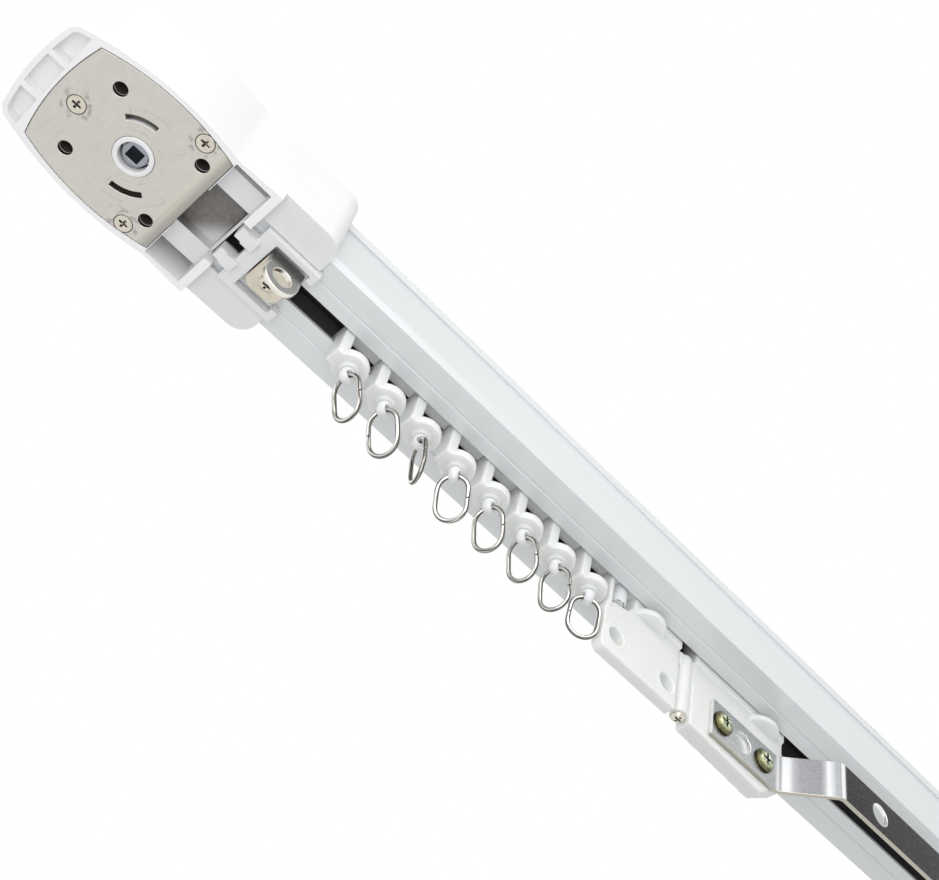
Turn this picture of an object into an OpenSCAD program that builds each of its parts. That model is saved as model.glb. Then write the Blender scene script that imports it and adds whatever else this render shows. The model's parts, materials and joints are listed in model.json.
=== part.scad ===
// Electric curtain track: an aluminium rail with a belt drive head, ring gliders and a master carrier.
// Installed attitude: +Z up, slot facing down, X along the rail from the drive head to the far end.
// The origin is the middle of the rail's top face.

/* [Rail] */
// Length of the rail
rail_length = 600; // [560:1:1200]
// Width of the rail body
rail_w = 34; // [33:0.5:38]
// Height of the rail
rail_h = 23; // [22:0.5:26]
// Width across the two top lips
lip_w = 35.6; // [35:0.1:38]
// Height of the top lips
lip_h = 3.4; // [2:0.1:5]
// Thickness of the side walls
rail_wall = 1.4; // [1:0.1:2]
// Thickness of the floor flanges
floor_t = 1.6; // [1.2:0.1:2]
// Thickness of the rail top
roof_t = 1.2; // [1:0.1:2]
// Width of the slot
slot_w = 7.4; // [7:0.1:8]
// Distance of each underside groove from the middle
groove_y = 9.04; // [8.8:0.01:12]
// Depth of the underside grooves
groove_depth = 0.5; // [0.2:0.1:0.8]
// Distance of the inner ribs from the middle
rib_y = 8; // [7.8:0.1:8.2]
// Thickness of the inner ribs
rib_t = 0.7; // [0.5:0.1:0.9]
// Height of the inner ribs
rib_h = 1.8; // [1:0.1:2.2]

/* [Belt and pulleys] */
// Distance from the rail's end to the drive hub
hub_gap = 35.7; // [33:0.1:36]
// Teeth on the drive pulley
pulley_teeth = 12; // [12:1:12]
// Pitch of the belt
belt_pitch = 5; // [4.8:0.1:5.2]
// Width of the belt
belt_w = 10; // [8:0.5:10.5]
// Thickness of the belt
belt_t = 1.4; // [1:0.1:1.6]
// Height of the belt's middle over the rail's underside
belt_z = 11.5; // [11:0.1:12]
// Radius of the drive shaft
shaft_r = 3.97; // [3.5:0.01:4.2]
// Width of the square socket in the drive shaft
socket_w = 4.3; // [3.5:0.1:4.5]
// Depth of the square socket
socket_depth = 10; // [6:0.5:16]
// Outer radius of the bearings
bearing_r = 8; // [7:0.1:9]
// Width of the bearings
bearing_w = 5; // [4:0.1:5]

/* [Drive head] */
// Length of the head from the hub to its closed end
head_back = 37; // [36:0.1:42]
// Length of the head from the hub to the end of its sleeve
head_front = 60.4; // [59:0.1:66]
// Half width of the head beside the hub
head_half_w = 25.5; // [25:0.1:28]
// Half width of the sleeve round the rail
sleeve_half_w = 24.3; // [23:0.1:25]
// Height of the head over the rail's underside
head_top = 25.3; // [25.2:0.1:28]
// Depth of the plate side below the rail's underside
head_drop = 5.1; // [4.6:0.1:6]
// Distance from the hub to the tall part's end wall
tall_back = 27.5; // [27:0.1:29]
// Thickness of the flap under the rail
flap_t = 1.5; // [1:0.1:2.5]
// Radius of the closed end's corners
head_corner_r = 11; // [9:0.1:12]
// Radius of the sleeve's corners
sleeve_corner_r = 6.5; // [4:0.1:7]
// Running gap between parts that fit or slide
fit_gap = 0.3; // [0.2:0.01:0.4]
// Start of the open bay, from the hub
bay_start = 21.2; // [21:0.1:23]
// Start of the cross wall, from the hub
wall_start = 34.4; // [33.5:0.1:35]
// Thickness of the cross wall
wall_t = 2.8; // [2:0.1:3.4]
// Inner half width of the bay ribs
bay_rib_in = 9.3; // [9:0.1:10]
// Outer half width of the bay ribs
bay_rib_out = 17.3; // [16:0.1:18]

/* [Base plate] */
// Thickness of the base plate
plate_t = 1.5; // [1:0.1:2]
// Reach of the base plate behind the hub
plate_back = 28; // [27:0.1:29]
// Reach of the base plate before the hub
plate_front = 20.7; // [20:0.1:21]
// Half width of the base plate
plate_half_w = 23.5; // [22.5:0.1:23.6]
// Distance of the motor holes from the hub along the rail
motor_hole_x = 15; // [14:0.1:16]
// Distance of the motor holes from the hub across the rail
motor_hole_y = 13.7; // [13.4:0.1:15]
// Radius of the motor holes
motor_hole_r = 2.25; // [1.6:0.05:2.6]
// Radius of the plate screw heads
plate_screw_head_r = 2.76; // [2.4:0.01:3]
// Radius of the plate screw shanks
plate_screw_r = 1.45; // [1.2:0.05:1.6]
// Middle radius of the two arc slots
arc_r = 12.1; // [11.9:0.1:12.4]
// Width of the arc slots
arc_w = 1.9; // [1:0.1:2.2]
// Outer radius of the hub bush
bush_r = 6.25; // [6:0.05:6.5]
// Bore radius of the hub bush
bush_bore_r = 4.7; // [4.5:0.05:5]

/* [Lock clip and bracket] */
// Half width of the lock clip
clip_half_w = 12.4; // [12:0.1:13]
// Length of the lock clip
clip_len = 21; // [20:0.1:22]
// Width of the clip's side bars
clip_bar = 2.3; // [2:0.1:3]
// Thickness of the lock clip
clip_t = 3.2; // [2.5:0.1:3.5]
// Thickness of the bracket sheet
bracket_t = 1.6; // [1.2:0.1:2]
// Length of the bracket along the rail
bracket_len = 12.3; // [11.5:0.1:12.6]
// Half width of the bracket base
bracket_half_w = 7.5; // [7:0.1:8]
// Drop of the bracket's outer face below the rail
bracket_drop = 3; // [2.6:0.1:3.2]
// Depth of the bracket hole below the rail
bracket_hole_drop = 10.2; // [9.5:0.1:12]
// Radius of the bracket hole
bracket_hole_r = 3.2; // [2:0.1:4]

/* [Gliders] */
// Number of gliders
glider_count = 8; // [8:1:8]
// Distance from the rail's end to the first glider
glider_start = 51.5; // [50:0.1:52]
// Distance from glider to glider
glider_pitch = 15.54; // [15.5:0.01:15.7]
// Radius of the glider disc
disc_r = 5.85; // [5:0.05:5.9]
// Thickness of the glider disc
disc_t = 3; // [2:0.1:3.4]
// Depth of the disc's middle below the rail
disc_drop = 9.08; // [8.5:0.01:9.5]
// Radius of the swivel eye's finger
eye_r = 2.3; // [2.2:0.05:2.6]
// Radius of the hole in the eye
eye_hole_r = 1.5; // [1.4:0.05:1.6]
// Depth of the eye hole below the rail
eye_hole_drop = 14; // [13.8:0.1:15]
// Length of the ring, middle to middle of the wire
ring_len = 15.7; // [15:0.1:16.5]
// Width of the ring, middle to middle of the wire
ring_w = 10; // [9:0.1:10.1]
// Radius of the ring wire
wire_r = 0.75; // [0.5:0.05:0.8]

/* [Master carrier] */
// Thickness of the carrier fin
fin_t = 4.6; // [4:0.1:5.4]
// Depth of the fin's lower edge below the rail
fin_drop = 30; // [29:0.1:32]
// Gap from the last glider's disc to the carrier
carrier_gap = 0.45; // [0.4:0.01:0.6]
// Length of the front half of the carrier
front_len = 36.4; // [36:0.1:37]
// Length of the notch between the two halves
notch_len = 7.5; // [7:0.1:8]
// Length of the rear half of the carrier
rear_len = 48; // [47:0.1:50]
// Radius of the two round holes in the front half
fin_hole_r = 3.4; // [3:0.1:4]
// Depth of the round holes below the rail
fin_hole_drop = 22.1; // [19:0.1:23]
// Radius of the carrier's guide discs
guide_r = 7.5; // [6:0.05:7.8]
// Radius of the carrier wheels
wheel_r = 4.8; // [4:0.1:5]
// Width of a carrier wheel
wheel_w = 2.6; // [2:0.1:3]

/* [Overlap arm] */
// Thickness of the arm's strip
arm_t = 1.5; // [1:0.1:2]
// Height of the arm's strip
arm_h = 15.5; // [14:0.1:17]
// Depth of the arm's upper edge below the rail
arm_drop = 12.4; // [11:0.1:13]
// Sideways step of the arm
arm_step = 16.5; // [14:0.1:20]
// Length of the arm behind the step
arm_reach = 115; // [40:1:150]
// Radius of the holes in the arm
arm_hole_r = 4.1; // [3:0.1:4.5]
// Radius of the arm screw heads
arm_screw_head_r = 4; // [3.5:0.1:4.5]
// Radius of the arm screw shanks
arm_screw_r = 1.9; // [1.5:0.1:2.4]

/* [Return unit] */
// Length of the return unit's sleeve over the rail
return_sleeve = 26; // [22:1:30]
// Distance from the rail's end to the idler
idler_gap = 13; // [13:0.1:16]
// Length of the return unit past the rail's end
return_len = 27; // [27:0.1:32]
// Radius of the idler axle
axle_r = 2.5; // [2:0.1:3]

/* [Hidden] */
$fn = 48;
eps = 0.01;
touch = 0.02;

// Places along the rail
rail_start = -rail_length / 2;
rail_end = rail_length / 2;
hub_x = rail_start - hub_gap;
idler_x = rail_end + idler_gap;
last_glider_x = rail_start + glider_start + (glider_count - 1) * glider_pitch;
carrier_x = last_glider_x + disc_r + carrier_gap;
notch_x = carrier_x + front_len;
rear_x = notch_x + notch_len;
rear_end_x = rear_x + rear_len;

// Belt path
pitch_r = pulley_teeth * belt_pitch / (2 * PI);
belt_in_r = pitch_r - belt_t / 2;
belt_out_r = pitch_r + belt_t / 2;
pulley_tip_r = belt_in_r - fit_gap - 0.05;
flange_r = belt_out_r + 0.6;
flange_t = 0.8;
pulley_h = belt_w + 2 * (fit_gap + flange_t);
pulley_z = belt_z - pulley_h / 2;
chamber_r = flange_r + 1.3;
chamber_low = pulley_z - fit_gap;
chamber_top = pulley_z + pulley_h + fit_gap;

// Drive head
seat_r = bearing_r + touch;
upper_seat_z = chamber_top + 0.9;
holder_top = chamber_low - 1;
lower_bearing_z = holder_top - bearing_w - 0.6;
plate_inner_z = -head_drop + plate_t;
side_bow_r = 100;
side_peak = 1;
end_half_w = 22.3;
waist = bow(bay_start);
rim = 1.6;
end_bow_r = 90;
pocket_ribs = [-7, 7];
pocket_rib_t = 1.8;
pocket_to = -plate_back - 1.2;
pocket_depth = 3.6;
flap_open_half_w = clip_half_w + fit_gap;

// Base plate
plate_side_r = 78;
plate_end_r = 81.6;
plate_lip = 2;
plate_screw_len = 8;
plate_screws_at = [[-20.7, 0], [11.2, -19.9], [11.2, 19.9]];
arc_slots = [[222, 268], [41, 88]];
arc_room_in = arc_r - arc_w / 2 - 0.8;
arc_room_out = arc_r + arc_w / 2 + 0.3;

// Lock clip and bracket
clip_start = 40.9;
clip_open_start = clip_start + 5.3;
clip_end_bar = 2.5;
bracket_start = clip_open_start + 0.5;
bracket_tab_y = -(bracket_half_w + 0.5);
bracket_tab_r = bracket_len / 2;
bracket_screw_y = 2;
bracket_screw_r = 1.2;
bracket_screw_head_r = 2.7;
bracket_screw_head_h = 1.4;
bracket_screw_len = 7;
bracket_corner_r = 3;
nut_half_w = slot_w / 2 - fit_gap;

// Gliders: each eye is turned, and each ring swung, as the photograph shows it
shoe_low = floor_t + fit_gap;
shoe_half_w = rib_y - rib_t / 2 - 0.9;
shoe_h = 4;
neck_half_w = slot_w / 2 - 0.4;
neck_back = 8.9;
neck_front = 3.9;
low_neck_back = 8.6;
neck_corner_r = 2;
neck_drop = 13.5;
eye_shaft_r = 1.6;
eye_bore_r = eye_shaft_r + 0.08;
eye_head_r = 2.9;
eye_head_t = 1.2;
boss_r = 2.7;
boss_t = 1;
disc_top = -disc_drop + disc_t / 2;
disc_low = -disc_drop - disc_t / 2;
eye_turn = [8, 20, -18, 36, 20, 16, 20, 65];
ring_swing = [24, 27, 10, 24, 20, 18, 14, 9];
mirrored_rings = [2, 8];
ring_seat = 0.1;
ring_joint = 0.4;

// Master carrier
shoulder_drop = 9.5;
front_neck_x = carrier_x + 12.4;
fin_holes_at = [carrier_x + 6.3, carrier_x + 31.2];
guide_discs_at = [carrier_x + 20.4, rear_x + 36.9];
guide_drop = 2.8;
guide_t = 2.2;
carrier_h = 9;
carrier_half_w = shoe_half_w - wheel_w - 0.4;
wheel_z = floor_t + fit_gap + wheel_r;
wheel_axle_r = 1.4;
axles_at = [carrier_x + 20.4, rear_x + 36.9];
boss_x = notch_x + 4.2;
screw_boss_r = 3.1;
carrier_screw_head_r = 2.4;
carrier_screw_head_h = 1.5;
carrier_screw_r = 1.28;
carrier_screw_len = 10;
rear_back_y = 4;
cut_x = rear_end_x - 11;
cut_drop = 24;
rear_drop = fin_drop + 2;
pin_x = carrier_x + 7;
pin_r = 2.8;
pin_drop = 5.2;
clamp_x = rear_x + 2;
clamp_len = 20;

// Overlap arm
arm_face_y = -fin_t / 2 - arm_t;
arm_x = rear_x + 9.1;
arm_bend_x = arm_x + 34.4;
arm_step_len = 14.5;
arm_bend_r = 2.5;
arm_screws_at = [arm_x + 5.1, arm_x + 26.8];
arm_slot_x = arm_x + 16.1;
arm_far_hole_x = arm_bend_x + arm_step_len + 20.8;
arm_mid_drop = arm_drop + arm_h / 2;
screw_head_h = 2.2;

// Return unit
return_corner_r = 12;
return_plate_half_w = 16.2;
return_plate_x = 1.1;
return_plate_corner_r = 3.7;
return_screw_y = return_plate_half_w - 2.6;
return_screw_head_r = 2.3;
return_screw_r = 1.2;
return_screw_len = 6;

// Plain helpers

// Moves its children to the rail's underside, where height 0 is the lower face of the rail.
module under(x = 0, y = 0) {
    translate([x, y, -rail_h]) children();
}

// Points along an arc round a centre.
function arc(x, y, r, a0, a1, n) =
    [for (i = [0:n]) let (a = a0 + (a1 - a0) * i / n) [x + r * cos(a), y + r * sin(a)]];

// A rectangle with round corners, as squares and circles.
module round_rect(x0, y0, x1, y1, r) {
    translate([x0 + r, y0]) square([x1 - x0 - 2 * r, y1 - y0]);
    translate([x0, y0 + r]) square([x1 - x0, y1 - y0 - 2 * r]);
    for (x = [x0 + r, x1 - r], y = [y0 + r, y1 - r])
        translate([x, y]) circle(r);
}

// A box between two corners.
module block(low, high) {
    translate(low) cube(high - low);
}

// A cylinder between two heights.
module post(r, z0, z1) {
    translate([0, 0, z0]) cylinder(h = z1 - z0, r = r);
}

// A cross recess, cut from height 0 upwards.
module cross_recess(size, depth) {
    for (a = [0, 90])
        rotate(a) translate([-size / 2, -size / 8, -eps]) cube([size, size / 4, depth + eps]);
}

// A countersunk screw whose flat face is at height 0 and whose shank points up.
module flat_screw(head_r, shank_r, len) {
    head_h = head_r - shank_r;
    difference() {
        union() {
            cylinder(h = head_h, r1 = head_r, r2 = shank_r);
            translate([0, 0, head_h - eps]) cylinder(h = len - head_h, r = shank_r);
        }
        cross_recess(head_r * 1.1, head_h * 0.7);
    }
}

// The hole that such a screw needs.
module flat_screw_hole(head_r, shank_r, len) {
    head_h = head_r - shank_r;
    translate([0, 0, -eps]) cylinder(h = head_h + eps, r1 = head_r + touch, r2 = shank_r + touch);
    translate([0, 0, -eps]) cylinder(h = len + 0.3, r = shank_r + touch);
}

// A round-head screw whose head's underside is at height 0 and whose shank points up.
module round_screw(head_r, head_h, shank_r, len) {
    difference() {
        union() {
            translate([0, 0, -head_h * 0.45]) cylinder(h = head_h * 0.45, r = head_r);
            translate([0, 0, -head_h]) cylinder(h = head_h * 0.55 + eps, r1 = head_r * 0.62, r2 = head_r);
            translate([0, 0, -eps]) cylinder(h = len, r = shank_r);
        }
        translate([0, 0, -head_h]) cross_recess(head_r * 1.1, head_h * 0.5);
    }
}

// Rail and belt

module rail_section() {
    in_w = rail_w / 2 - rail_wall;
    difference() {
        union() {
            translate([-rail_w / 2, 0]) square([rail_w, rail_h]);
            translate([-lip_w / 2, rail_h - lip_h]) square([lip_w, lip_h]);
        }
        difference() {
            translate([-in_w, floor_t]) square([2 * in_w, rail_h - floor_t - roof_t]);
            for (s = [-1, 1], z = [floor_t, rail_h - roof_t - rib_h])
                translate([s * rib_y - rib_t / 2, z - eps]) square([rib_t, rib_h + 2 * eps]);
        }
        translate([-slot_w / 2, -1]) square([slot_w, floor_t + 2]);
        for (s = [-1, 1])
            translate([s * groove_y, 0])
                polygon([[-groove_depth, -eps], [groove_depth, -eps], [0, groove_depth]]);
    }
}

module rail() {
    color([0.86, 0.87, 0.87])
        under(rail_start) rotate([90, 0, 90]) linear_extrude(rail_length) rail_section();
}

module belt_loop(r) {
    translate([hub_x, -r]) square([idler_x - hub_x, 2 * r]);
    for (x = [hub_x, idler_x])
        translate([x, 0]) circle(r, $fn = 96);
}

module drive_belt() {
    color([0.08, 0.08, 0.09])
        under() translate([0, 0, belt_z - belt_w / 2]) linear_extrude(belt_w) difference() {
            belt_loop(belt_out_r);
            belt_loop(belt_in_r);
        }
}

// Drive head

// How far the bowed side is from the middle, at x.
function bow(x) =
    head_half_w - side_bow_r + sqrt(side_bow_r * side_bow_r - (x - side_peak) * (x - side_peak));

// A rectangle with a rounded end, held inside a large circle at the end and at each side, shrunk by g.
module head_plan(g = 0) {
    half_w = head_half_w - g;
    intersection() {
        union() {
            round_rect(g - head_back, g - end_half_w, 0, end_half_w - g, head_corner_r - g);
            translate([head_corner_r - head_back, -half_w])
                square([head_back - head_corner_r + bay_start, 2 * half_w]);
        }
        translate([end_bow_r - head_back, 0]) circle(end_bow_r - g, $fn = 240);
        translate([side_peak, head_half_w - side_bow_r]) circle(side_bow_r - g, $fn = 480);
        translate([side_peak, side_bow_r - head_half_w]) circle(side_bow_r - g, $fn = 480);
    }
}

// The sleeve's outline from x onwards: it widens from the waist to its full width.
module sleeve_plan(from) {
    intersection() {
        round_rect(from - 20, -sleeve_half_w, head_front, sleeve_half_w, sleeve_corner_r);
        polygon([[from, -waist], [wall_start, -sleeve_half_w], [head_front, -sleeve_half_w],
            [head_front, sleeve_half_w], [wall_start, sleeve_half_w], [from, waist]]);
    }
}

// The plate's outline, grown by g for the recess it lies in.
module plate_plan(g = 0) {
    half_w = plate_half_w + g;
    intersection() {
        translate([-plate_back - g, -half_w]) square([plate_back + plate_front + 2 * g, 2 * half_w]);
        translate([plate_end_r - plate_back, 0]) circle(plate_end_r + g, $fn = 240);
        translate([0, plate_half_w - plate_side_r]) circle(plate_side_r + g, $fn = 360);
        translate([0, plate_side_r - plate_half_w]) circle(plate_side_r + g, $fn = 360);
    }
}

// The room that the rail needs inside a sleeve, open at the top so that the rail lies flat on its clips.
module rail_room(x0, x1) {
    block([x0, -rail_w / 2 - fit_gap, -fit_gap], [x1, rail_w / 2 + fit_gap, rail_h]);
    block([x0, -lip_w / 2 - fit_gap, rail_h - lip_h - fit_gap], [x1, lip_w / 2 + fit_gap, head_top + 1]);
}

module end_pockets() {
    translate([0, 0, -head_drop - 1]) linear_extrude(pocket_depth + 1) difference() {
        intersection() {
            head_plan(rim);
            translate([-head_back, -head_half_w]) square([head_back + pocket_to, 2 * head_half_w]);
        }
        for (y = pocket_ribs)
            translate([-head_back - 1, y - pocket_rib_t / 2]) square([head_back, pocket_rib_t]);
    }
}

module bay() {
    side = waist - 1.3;
    wall = wall_start;
    block([bay_start, -bay_rib_in, -head_drop - 1], [wall, bay_rib_in, chamber_low - 1]);
    block([plate_front - plate_t - fit_gap, -bay_rib_in, -head_drop - 1],
        [bay_start + eps, bay_rib_in, -head_drop + plate_t + plate_lip + fit_gap]);
    for (s = [0, 1]) mirror([0, s, 0]) {
        block([bay_start, bay_rib_out, -head_drop - 1], [wall, side, belt_z]);
        block([bay_start, bay_rib_in - eps, -head_drop - 1], [wall, bay_rib_out + eps, 0.2]);
    }
}

module gear_housing() {
    color([0.97, 0.97, 0.96]) under(hub_x) difference() {
        union() {
            translate([0, 0, -head_drop]) linear_extrude(head_drop) head_plan();
            translate([0, 0, -head_drop]) linear_extrude(head_top + head_drop) intersection() {
                head_plan();
                translate([-tall_back, -head_half_w]) square([tall_back + bay_start, 2 * head_half_w]);
            }
            translate([0, 0, -head_drop]) linear_extrude(head_top + head_drop) intersection() {
                sleeve_plan(bay_start - 1);
                translate([0, -head_half_w]) square([wall_start + wall_t, 2 * head_half_w]);
            }
            translate([0, 0, -flap_t]) linear_extrude(head_top + flap_t) sleeve_plan(wall_start);
        }
        translate([0, 0, -head_drop - 1]) linear_extrude(plate_t + 1) plate_plan(fit_gap);
        end_pockets();
        bay();
        // Room behind the plate, for the holder, the pulley and the belt
        post(chamber_r, -head_drop, chamber_top);
        block([0, -chamber_r, chamber_low], [hub_gap, chamber_r, chamber_top]);
        post(seat_r, chamber_top - eps, upper_seat_z + bearing_w + 0.2);
        rail_room(hub_gap - fit_gap, head_front + 1);
        block([wall_start - 1, -bay_rib_in, -head_drop - 1], [hub_gap + 6, bay_rib_in, 1]);
        block([wall_start + wall_t, -flap_open_half_w, -head_drop - 1],
            [head_front + 1, flap_open_half_w, 0]);
        for (p = plate_screws_at)
            translate([p[0], p[1], -head_drop]) post(plate_screw_r + touch, 0, plate_screw_len + 0.5);
        for (x = [-motor_hole_x, motor_hole_x], y = [-motor_hole_y, motor_hole_y])
            translate([x, y, -head_drop]) post(motor_hole_r, 0, 8);
        post(arc_room_out, -head_drop, 0);
    }
}

// A slot that follows the hub.
module arc_slot(a0, a1) {
    linear_extrude(plate_t + 2) polygon(concat(
        arc(0, 0, arc_r + arc_w / 2, a0, a1, 16),
        arc(0, 0, arc_r - arc_w / 2, a1, a0, 16)));
}

module base_plate() {
    color([0.80, 0.79, 0.77]) under(hub_x) difference() {
        union() {
            translate([0, 0, -head_drop]) linear_extrude(plate_t) plate_plan();
            // The turned-up front edge
            block([plate_front - plate_t, -bay_rib_in + 0.5, -head_drop + eps],
                [plate_front - eps, bay_rib_in - 0.5, -head_drop + plate_t + plate_lip]);
        }
        for (x = [-motor_hole_x, motor_hole_x], y = [-motor_hole_y, motor_hole_y])
            translate([x, y, 0]) post(motor_hole_r, -head_drop - 1, 0);
        for (p = plate_screws_at)
            translate([p[0], p[1], -head_drop])
                flat_screw_hole(plate_screw_head_r, plate_screw_r, plate_screw_len);
        for (s = arc_slots)
            translate([0, 0, -head_drop - 1]) arc_slot(s[0], s[1]);
        post(bush_r + touch, -head_drop - 1, 0);
    }
}

module plate_screws() {
    color([0.75, 0.73, 0.66]) under(hub_x)
        for (p = plate_screws_at)
            translate([p[0], p[1], -head_drop])
                flat_screw(plate_screw_head_r, plate_screw_r, plate_screw_len);
}

module hub_bush() {
    color([0.93, 0.94, 0.95]) under(hub_x) difference() {
        post(bush_r, -head_drop - 0.4, plate_inner_z + 1.3);
        post(bush_bore_r, -head_drop - 1, 0);
    }
}

module bearing_holder() {
    color([0.90, 0.90, 0.90]) under(hub_x) difference() {
        post(chamber_r - touch, plate_inner_z, holder_top);
        post(bush_r + touch, plate_inner_z - 1, lower_bearing_z + 1);
        post(seat_r, lower_bearing_z, holder_top + 1);
        // Room behind the plate's two arc slots
        difference() {
            post(chamber_r + 1, plate_inner_z - 1, 0);
            post(arc_room_in, plate_inner_z - 2, 1);
        }
    }
}

module bearing(z) {
    difference() {
        post(bearing_r, z, z + bearing_w);
        post(shaft_r + 0.03, z - 1, z + bearing_w + 1);
        for (h = [z - eps, z + bearing_w - 0.3])
            translate([0, 0, h]) difference() {
                cylinder(h = 0.3 + eps, r = bearing_r - 1.2);
                cylinder(h = 0.4, r = shaft_r + 1.2);
            }
    }
}

module lower_bearing() {
    color([0.70, 0.71, 0.73]) under(hub_x) bearing(lower_bearing_z + touch);
}

module upper_bearing() {
    color([0.70, 0.71, 0.73]) under(hub_x) bearing(upper_seat_z);
}

module drive_pulley() {
    groove_r = 1.2;
    color([0.20, 0.20, 0.22]) under(hub_x) difference() {
        union() {
            translate([0, 0, pulley_z + flange_t - eps]) linear_extrude(pulley_h - 2 * flange_t + 2 * eps)
                difference() {
                    circle(pulley_tip_r);
                    for (i = [0:pulley_teeth - 1])
                        rotate((i + 0.5) * 360 / pulley_teeth) translate([pulley_tip_r + 0.2, 0])
                            circle(groove_r, $fn = 24);
                }
            post(flange_r, pulley_z, pulley_z + flange_t);
            post(flange_r, pulley_z + pulley_h - flange_t, pulley_z + pulley_h);
        }
        post(shaft_r + touch, pulley_z - 1, pulley_z + pulley_h + 1);
    }
}

module drive_shaft() {
    low = -head_drop + 1.2;
    color([0.62, 0.66, 0.71]) under(hub_x) difference() {
        post(shaft_r, low, upper_seat_z + bearing_w - 0.3);
        block([-socket_w / 2, -socket_w / 2, low - 1], [socket_w / 2, socket_w / 2, low + socket_depth]);
    }
}

// Lock clip and bracket

module lock_clip() {
    low = -fit_gap - clip_t;
    end = clip_start + clip_len;
    color([0.96, 0.96, 0.95]) under(hub_x) {
        difference() {
            block([clip_start, -clip_half_w, low], [end, clip_half_w, -fit_gap]);
            block([clip_open_start, -clip_half_w + clip_bar, low - 1], [end - clip_end_bar,
                clip_half_w - clip_bar, 1]);
            block([end - clip_end_bar - 1, -bracket_half_w - fit_gap, low - 1], [end + 1,
                bracket_half_w + fit_gap, 1]);
        }
        for (s = [0, 1]) mirror([0, s, 0]) {
            block([clip_start - 5.4, 3, low - 0.8], [clip_start + eps, 7.3, -fit_gap]);
            block([clip_start - 3, 3, low - 1.6], [clip_start + 1.5, 7.3, low + eps]);
        }
    }
}

module lock_bracket() {
    mid = bracket_start + bracket_len / 2;
    low = -bracket_drop;
    tab_in = bracket_tab_y + bracket_t;
    color([0.80, 0.80, 0.78]) under(hub_x) difference() {
        union() {
            translate([0, 0, low]) linear_extrude(bracket_t) union() {
                round_rect(bracket_start, -bracket_half_w + 2, bracket_start + bracket_len, bracket_half_w,
                    bracket_corner_r);
                translate([bracket_start, bracket_tab_y]) square([bracket_len, bracket_half_w]);
            }
            block([bracket_start, bracket_tab_y, -bracket_hole_drop],
                [bracket_start + bracket_len, tab_in, low + eps]);
            translate([mid, bracket_tab_y, -bracket_hole_drop]) rotate([-90, 0, 0])
                cylinder(h = bracket_t, r = bracket_tab_r);
        }
        translate([mid, bracket_tab_y - 1, -bracket_hole_drop]) rotate([-90, 0, 0])
            cylinder(h = bracket_t + 2, r = bracket_hole_r);
        translate([mid, bracket_screw_y, 0]) post(bracket_screw_r + 0.1, low - 1, 0);
    }
}

module bracket_screw() {
    mid = bracket_start + bracket_len / 2;
    color([0.76, 0.74, 0.68]) under(hub_x) translate([mid, bracket_screw_y, -bracket_drop])
        round_screw(bracket_screw_head_r, bracket_screw_head_h, bracket_screw_r, bracket_screw_len);
}

// The nut slides in the rail above the slot, and its neck reaches down to the bracket.
module rail_nut() {
    mid = bracket_start + bracket_len / 2;
    color([0.72, 0.70, 0.62]) under(hub_x) difference() {
        union() {
            block([mid - 5, -shoe_half_w, floor_t], [mid + 5, shoe_half_w, floor_t + 3]);
            block([mid - 5, -nut_half_w, -bracket_drop + bracket_t], [mid + 5, nut_half_w, floor_t + eps]);
        }
        translate([mid, bracket_screw_y, 0]) post(bracket_screw_r + touch, -bracket_drop, floor_t + 4);
    }
}

// Gliders, eyes and rings

module at_glider(n) {
    under(rail_start + glider_start + (n - 1) * glider_pitch) children();
}

module glider(n) {
    color([0.95, 0.95, 0.94]) at_glider(n) difference() {
        union() {
            block([-neck_back, -shoe_half_w, shoe_low], [-neck_front, shoe_half_w, shoe_low + shoe_h]);
            block([-neck_back, -neck_half_w, disc_top], [-neck_front, neck_half_w, shoe_low + eps]);
            translate([0, 0, -neck_drop]) linear_extrude(neck_drop + disc_top + eps)
                round_rect(-low_neck_back, 0.6 - neck_half_w, -neck_front, neck_half_w - 0.6, neck_corner_r);
            block([-low_neck_back, -boss_r, disc_low + 0.4], [0, boss_r, disc_top - 0.4]);
            post(disc_r, disc_low + 0.5, disc_top - 0.5);
            translate([0, 0, disc_top - 0.5]) cylinder(h = 0.5, r1 = disc_r, r2 = disc_r - 0.5);
            translate([0, 0, disc_low]) cylinder(h = 0.5, r1 = disc_r - 0.5, r2 = disc_r);
            post(boss_r, disc_low - boss_t, disc_low + eps);
        }
        post(eye_bore_r, disc_low - boss_t - 1, disc_top + 1);
    }
}

module swivel_eye(n) {
    low = disc_low - boss_t - fit_gap;
    color([0.95, 0.95, 0.94]) at_glider(n) rotate(eye_turn[n - 1]) difference() {
        union() {
            post(eye_head_r, disc_top + fit_gap, disc_top + fit_gap + eye_head_t);
            post(eye_shaft_r, low - eps, disc_top + fit_gap + eps);
            post(eye_r, -eye_hole_drop, low);
            translate([0, 0, -eye_hole_drop]) sphere(eye_r);
        }
        translate([0, -eye_r - 1, -eye_hole_drop]) rotate([-90, 0, 0])
            cylinder(h = 2 * eye_r + 2, r = eye_hole_r);
    }
}

// A wire bent to a long ring, hung from height 0 in the YZ plane, with its ends meeting on one side.
module wire_ring() {
    bend = ring_w / 2;
    side = ring_len - ring_w;
    for (s = [0, 1])
        translate([0, 0, -bend - s * side]) rotate([s == 0 ? 90 : -90, 0, 90])
            rotate_extrude(angle = 180) translate([bend, 0]) circle(wire_r, $fn = 16);
    translate([0, bend, -bend - side]) cylinder(h = side, r = wire_r, $fn = 16);
    translate([0, -bend, -bend - side]) cylinder(h = (side - ring_joint) / 2, r = wire_r, $fn = 16);
    translate([0, -bend, -bend - (side - ring_joint) / 2])
        cylinder(h = (side - ring_joint) / 2, r = wire_r, $fn = 16);
}

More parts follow.
